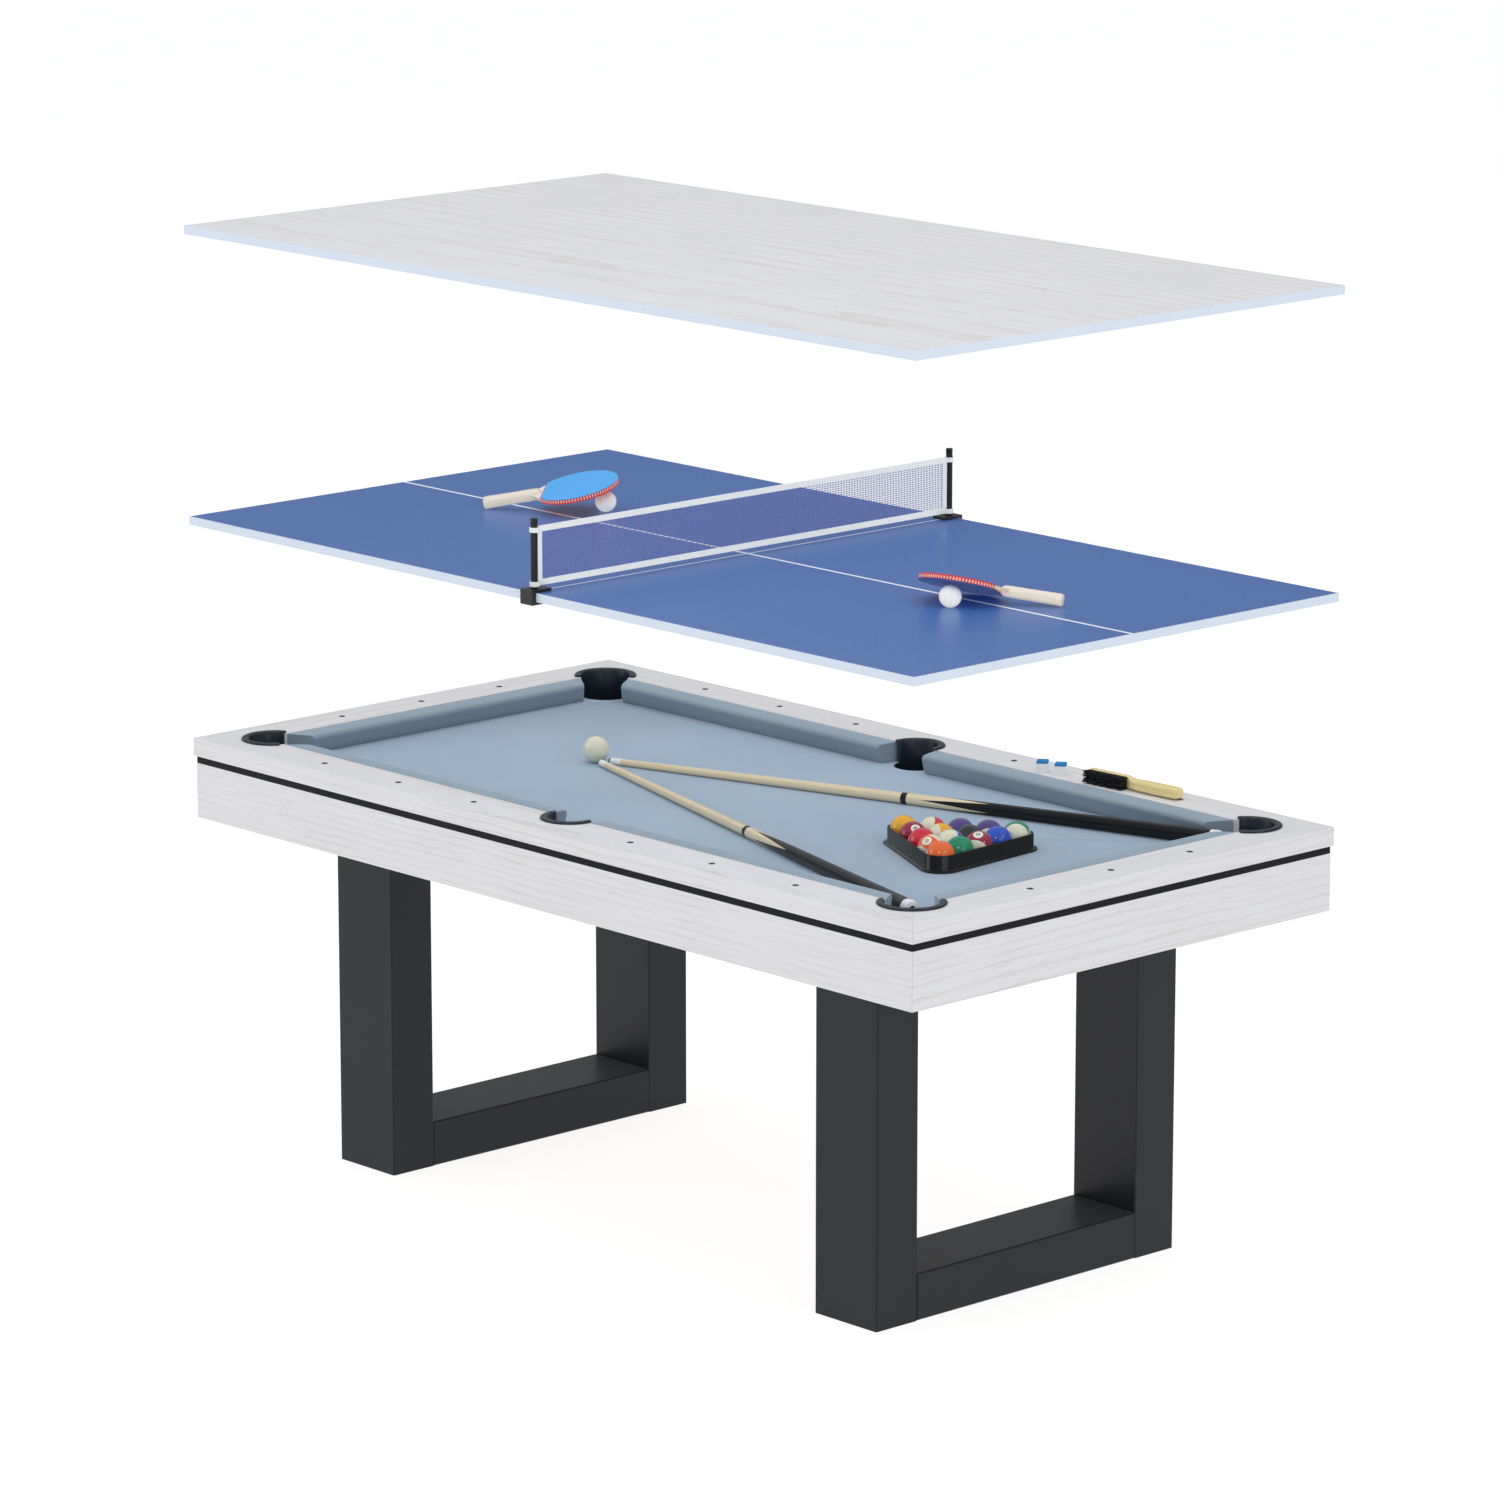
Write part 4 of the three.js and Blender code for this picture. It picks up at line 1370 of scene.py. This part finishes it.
def add_turned_run(shape, stations, steps=32):
    """Turns a row of (along, radius, material) stations, in millimetres, each run in its own material."""
    rings = [circle(radius * MM, along * MM, steps) for along, radius, _ in stations]
    faces = add_loft(shape, rings)
    for index, (_, _, material) in enumerate(stations[1:]):
        for face in faces[index * steps:(index + 1) * steps]:
            face.material_index = material
    faces[-1].material_index = stations[-1][2]
    faces[-2].material_index = stations[1][2]


def make_cues():
    """Two two-piece cues: leather tip, ferrule, maple shaft, black collars, pointed butt, white end cap."""
    leather = kept("pressed_leather", plain_finish, linear("#3A2D33"), 0.8, 1500.0, 0.0001, True)
    ferrule = kept("white_ferrule_plastic", plain_finish, linear("#EEF1F6"), 0.2, 900.0, 0.00001, True)
    maple = kept("varnished_maple", maple_shaft)
    collar = kept("gloss_collar_plastic", plain_finish, linear("#141519"), 0.18, 900.0, 0.00001, True)
    butt = kept("pointed_lacquered_butt", pointed_butt)
    rubber = kept("moulded_bumper_rubber", plain_finish, linear("#1A1A1C"), 0.7, 900.0, 0.00005, True)
    for name in ("1", "2"):
        matrix = cue_frame(name)
        shape = new_shape()
        add_turned_run(shape, [
            (0.3, 2.0, 0), (0.6, 4.2, 0), (1.8, 5.6, 0), (4.5, 6.1, 0), (4.6, 6.3, 1), (27, 6.5, 1),
            (27.2, 6.45, 2), (300, 8.2, 2), (630, 10.45, 2), (630.3, 10.5, 3), (635.8, 10.5, 3),
        ])
        settle(shape, matrix)
        make_piece(
            f"cue_{name}_shaft_turned", shape, [leather, ferrule, maple, collar], f"cue_{name}_shaft",
            [f"cue_{name}_shaft"], crease=50,
        )
        shape = new_shape()
        add_turned_run(shape, [
            (636.2, 10.5, 0), (642, 10.5, 0), (642.3, 10.55, 1), (820, 11.7, 1), (1020, 12.9, 1),
            (1260, 14.4, 1), (1260.3, 14.45, 2), (1274, 14.5, 2), (1277, 13.6, 2), (1278.4, 12.0, 2),
            (1278.5, 5.8, 2), (1278.6, 5.7, 3), (1279.6, 5.2, 3),
        ])
        settle(shape, matrix)
        make_piece(
            f"cue_{name}_butt_turned", shape, [collar, butt, ferrule, rubber], f"cue_{name}",
            [f"cue_{name}_butt"], crease=50,
        )


CHALK_HALF = 10.7 * MM
CHALK_TURN = math.radians(38)
# The chalk above its wrap: height in millimetres and share of its half width, square outside, round inside.
CHALK_TOP = ((16, 1.0), (21, 1.0), (21.9, 0.93), (21.6, 0.8), (19.2, 0.45), (18.6, 0.1))
CHALK_CORE = 0.97


def make_chalks():
    """Two cubes of blue chalk, dished on top, in white paper."""
    materials = [kept("white_paper_wrap", paper_wrap), kept("pressed_blue_chalk", chalk_block)]
    half = CHALK_HALF
    for name in ("1", "2"):
        shape = new_shape()
        square = [(half, half), (-half, half), (-half, -half), (half, -half)]
        add_prism(shape, square, 0.0, 17 * MM, 0, 0.3 * MM)
        rings = []
        steps = 48
        for height, out in CHALK_TOP:
            ring = []
            for i in range(steps):
                c, s = math.cos(TURN * i / steps), math.sin(TURN * i / steps)
                square_reach = 1 / max(abs(c), abs(s))
                blend = min(1.0, max(0.0, (out - 0.5) / 0.4))
                reach = half * CHALK_CORE * out * (1 + (square_reach - 1) * blend)
                ring.append((reach * c, reach * s, height * MM))
            rings.append(ring)
        add_loft(shape, rings, 1)
        settle(shape, Matrix.Rotation(CHALK_TURN, 4, "Z"), centre_on=f"chalk_{name}")
        make_piece(
            f"chalk_{name}_wrapped", shape, materials, f"chalk_{name}", [f"chalk_{name}"], crease=40
        )


BRUSH_TURN = math.radians(3)
# The brush's stations, in millimetres: along it, its two faces across it, and its lower and upper edges.
BRUSH_BODY = (
    (0.0, 1.5, 10.5, 3, 22), (1.5, 0.3, 11.7, 1, 24), (4, 0, 12, 0, 25), (90, 0, 12, 0, 25),
    (98, -2, 12, 2, 23), (108, -9, 12, 4, 21), (125, -10, 12, 3, 22), (165, -12, 12, 2.5, 22.5),
    (205, -12.5, 12, 2.5, 22.5), (216, -12, 11.5, 3, 22), (220, -9.5, 9, 5, 20),
)
TUFT_COLUMNS, TUFT_ROWS = 38, 10


def make_brush():
    """A table brush on its side: a varnished beech back and handle, with rows of black tufts."""
    beech = kept("varnished_beech", varnished_wood, colours().beech, linear("#E2C578"), 0, 0.007, 0.35)
    low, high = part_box("brush")
    turn = Matrix.Rotation(BRUSH_TURN, 4, "Z")
    shape = new_shape()
    add_loft(shape, [
        boxy_ring(along, ((y0 + y1) / 2, (z0 + z1) / 2), ((y1 - y0) / 2, (z1 - z0) / 2), 0.45, 32)
        for along, y0, y1, z0, z1 in BRUSH_BODY
    ])
    # The brush's own origin is the low back corner of its head.
    corner = Vector((
        low.x + 0.2 * MM, high.y - 12 * MM - (high.x - low.x) * math.tan(BRUSH_TURN), low.z
    ))
    settle(shape, Matrix.Translation(corner) @ turn)
    make_piece("brush_beech", shape, [beech], "brush", ["brush"], crease=50)

    places = []
    for column in range(TUFT_COLUMNS):
        for row in range(TUFT_ROWS):
            place = Vector((4 + column * 2.42, 0.5, 2.2 + row * 2.28)) * MM
            places.append(Matrix.Translation(corner) @ turn @ place)

    def build(tree, given):
        tuft = add_node(
            tree, "GeometryNodeMeshCone",
            {
                "Vertices": 6, "Radius Top": given["Tip radius"], "Radius Bottom": given["Root radius"],
                "Depth": given["Length"],
            },
        )
        random_lean = add_node(
            tree, "FunctionNodeRandomValue",
            {0: (math.pi / 2 - 0.13, -0.13, -0.1), 1: (math.pi / 2 + 0.13, 0.13, 0.1), "Seed": given["Seed"]},
            data_type="FLOAT_VECTOR",
        )
        return on_points(tree, given["Geometry"], tuft.outputs["Mesh"], random_lean.outputs[0])

    inputs = {
        "Root radius": (FLOAT, sizes().bristle), "Tip radius": (FLOAT, sizes().bristle * 1.7),
        "Length": (FLOAT, 19.5 * MM), "Seed": (WHOLE, 7),
    }
    tufts = grow("brush_tufts", places, build, inputs, kept("black_horsehair", horsehair))
    join_model(tufts, "brush")


# ---------------------------------------------------------------- studio


def make_stage():
    """A pale floor, a white surround, soft lights and the camera."""
    floor_mesh = bpy.data.meshes.new("studio_floor")
    reach = 60.0
    floor_mesh.from_pydata(
        [(-reach, -reach, 0), (reach, -reach, 0), (reach, reach, 0), (-reach, reach, 0)], [], [(0, 1, 2, 3)]
    )
    floor = bpy.data.objects.new("studio_floor", floor_mesh)
    floor.location.z = -0.5 * MM
    bpy.context.scene.collection.objects.link(floor)
    # Back-lit white acrylic, as on a still-life table, so that shadows stay faint.
    paper, _, _ = new_material(
        "back_lit_white_acrylic", (0.28, 0.28, 0.28), Roughness=1.0, Specular_IOR_Level=0.0,
        Emission_Color=(1.0, 1.0, 1.0, 1.0), Emission_Strength=0.86,
    )
    floor_mesh.materials.append(paper)

    world = bpy.data.worlds.new("studio_surround")
    bpy.context.scene.world = world
    world.use_nodes = True
    surround = world.node_tree.nodes["Background"]
    surround.inputs["Color"].default_value = (0.97, 0.985, 1.0, 1.0)
    # The surround is white to the eye, and dim where it shines in polished things, as a dark studio is.
    path = add_node(world.node_tree, "ShaderNodeLightPath").outputs
    seen = calculate(world.node_tree, "MULTIPLY", path["Is Camera Ray"], 0.55)
    dimmed = calculate(world.node_tree, "MULTIPLY", path["Is Glossy Ray"], 0.22)
    strength = calculate(world.node_tree, "SUBTRACT", calculate(world.node_tree, "ADD", seen, 0.5), dimmed)
    world.node_tree.links.new(strength, surround.inputs["Strength"])

    for name, place, size, power in (
        ("overhead_softbox", (0.0, 0.0, 6.0), (7.0, 7.0), 150.0),
        ("left_softbox", (-4.5, -4.5, 3.2), (3.5, 3.5), 45.0),
        ("right_softbox", (5.5, -1.5, 2.8), (3.0, 3.0), 20.0),
        ("back_strip", (-4.6, 2.8, 4.8), (7.0, 0.14), 16.0),
        ("front_spotlight", (2.6, -3.6, 3.4), (0.55, 0.55), 14.0),
        ("side_spotlight", (4.2, 0.6, 3.4), (0.55, 0.55), 10.0),
    ):
        light = bpy.data.lights.new(name, "AREA")
        light.shape = "RECTANGLE"
        light.size, light.size_y = size
        light.energy = power
        lamp = bpy.data.objects.new(name, light)
        lamp.location = place
        aim = (Vector((0.0, 0.0, 0.7)) - Vector(place)).normalized()
        across = Vector((1, 0, 0)) - aim * aim.x
        across.normalize()
        lamp.rotation_euler = Matrix((across, across.cross(aim), -aim)).transposed().to_euler()
        lamp.visible_camera = False
        bpy.context.scene.collection.objects.link(lamp)

    data = bpy.data.cameras.new("studio_camera")
    data.lens = VIEW_LENS
    data.sensor_width = 36.0
    data.clip_end = 200.0
    camera = bpy.data.objects.new("studio_camera", data)
    back = Vector((
        math.sin(VIEW_AZIMUTH) * math.cos(VIEW_ELEVATION),
        -math.cos(VIEW_AZIMUTH) * math.cos(VIEW_ELEVATION),
        math.sin(VIEW_ELEVATION),
    ))
    camera.location = VIEW_TARGET + back * VIEW_DISTANCE
    camera.rotation_euler = (-back).to_track_quat("-Z", "Y").to_euler()
    bpy.context.scene.collection.objects.link(camera)
    bpy.context.scene.camera = camera
    bpy.context.scene.view_settings.view_transform = "Standard"
    bpy.context.scene.view_settings.look = "None"


# ---------------------------------------------------------------- operators and panel


class GamesTableStep:
    """What the steps share: each runs its makers in order."""

    makers = ()

    def execute(self, context):
        for maker in self.makers:
            maker()
        return {"FINISHED"}


class GAMES_TABLE_OT_cabinet(GamesTableStep, bpy.types.Operator):
    """Finish the aprons, rails, reveal strip and underframe, and let in the sights"""

    bl_idname = "games_table.cabinet"
    bl_label = "Cabinet"
    makers = (finish_cabinet, make_sights, make_bolts)


class GAMES_TABLE_OT_legs(GamesTableStep, bpy.types.Operator):
    """Finish both U-shaped legs"""

    bl_idname = "games_table.legs"
    bl_label = "Legs"
    makers = (finish_legs,)


class GAMES_TABLE_OT_bed(GamesTableStep, bpy.types.Operator):
    """Lay the cloth, wrap the cushions and set the pockets"""

    bl_idname = "games_table.bed"
    bl_label = "Playing bed"
    makers = (make_bed_cloth, make_cushions, make_pockets)


class GAMES_TABLE_OT_tennis_top(GamesTableStep, bpy.types.Operator):
    """Make the table-tennis top and its centre line"""

    bl_idname = "games_table.tennis_top"
    bl_label = "Table-tennis top"
    makers = (make_tennis_top,)


class GAMES_TABLE_OT_net(GamesTableStep, bpy.types.Operator):
    """Make the net, its tapes and its posts"""

    bl_idname = "games_table.net"
    bl_label = "Net set"
    makers = (make_net, make_net_posts)


class GAMES_TABLE_OT_paddles(GamesTableStep, bpy.types.Operator):
    """Make both paddles and the balls they lean on"""

    bl_idname = "games_table.paddles"
    bl_label = "Paddles and balls"
    makers = (make_paddles, make_tennis_balls)


class GAMES_TABLE_OT_dining_top(GamesTableStep, bpy.types.Operator):
    """Make the dining top"""

    bl_idname = "games_table.dining_top"
    bl_label = "Dining top"
    makers = (make_dining_top,)


class GAMES_TABLE_OT_pool_balls(GamesTableStep, bpy.types.Operator):
    """Make the racked balls, the rack and the cue ball"""

    bl_idname = "games_table.pool_balls"
    bl_label = "Pool balls and rack"
    makers = (make_racked_balls, make_cue_ball, make_rack)


class GAMES_TABLE_OT_cues(GamesTableStep, bpy.types.Operator):
    """Make both cues"""

    bl_idname = "games_table.cues"
    bl_label = "Cues"
    makers = (make_cues,)


class GAMES_TABLE_OT_rail_pieces(GamesTableStep, bpy.types.Operator):
    """Make the chalks and the brush that lie on the far rail"""

    bl_idname = "games_table.rail_pieces"
    bl_label = "Chalk and brush"
    makers = (make_chalks, make_brush)


class GAMES_TABLE_OT_stage(GamesTableStep, bpy.types.Operator):
    """Set the floor, the lights and the camera"""

    bl_idname = "games_table.stage"
    bl_label = "Stage"
    makers = (make_stage,)


STEPS = (
    GAMES_TABLE_OT_cabinet, GAMES_TABLE_OT_legs, GAMES_TABLE_OT_bed, GAMES_TABLE_OT_tennis_top,
    GAMES_TABLE_OT_net, GAMES_TABLE_OT_paddles, GAMES_TABLE_OT_dining_top, GAMES_TABLE_OT_pool_balls,
    GAMES_TABLE_OT_cues, GAMES_TABLE_OT_rail_pieces, GAMES_TABLE_OT_stage,
)


class GAMES_TABLE_PT_panel(bpy.types.Panel):
    """Lists the steps and the values behind them"""

    bl_idname = "GAMES_TABLE_PT_panel"
    bl_label = "Games table"
    bl_space_type = "VIEW_3D"
    bl_region_type = "UI"
    bl_category = "Games table"

    def draw(self, context):
        layout = self.layout
        for step in STEPS:
            layout.operator(step.bl_idname)
        for group in (context.scene.games_table_colours, context.scene.games_table_sizes):
            box = layout.box()
            for name in group.__annotations__:
                box.prop(group, name)


CLASSES = (GamesTableColours, GamesTableSizes, *STEPS, GAMES_TABLE_PT_panel)


def register():
    for cls in CLASSES:
        bpy.utils.register_class(cls)
    bpy.types.Scene.games_table_colours = bpy.props.PointerProperty(type=GamesTableColours)
    bpy.types.Scene.games_table_sizes = bpy.props.PointerProperty(type=GamesTableSizes)


def unregister():
    del bpy.types.Scene.games_table_sizes
    del bpy.types.Scene.games_table_colours
    for cls in reversed(CLASSES):
        bpy.utils.unregister_class(cls)


def main():
    register()
    for step in STEPS:
        group, name = step.bl_idname.split(".")
        getattr(getattr(bpy.ops, group), name)()


if __name__ == "__main__":
    main()
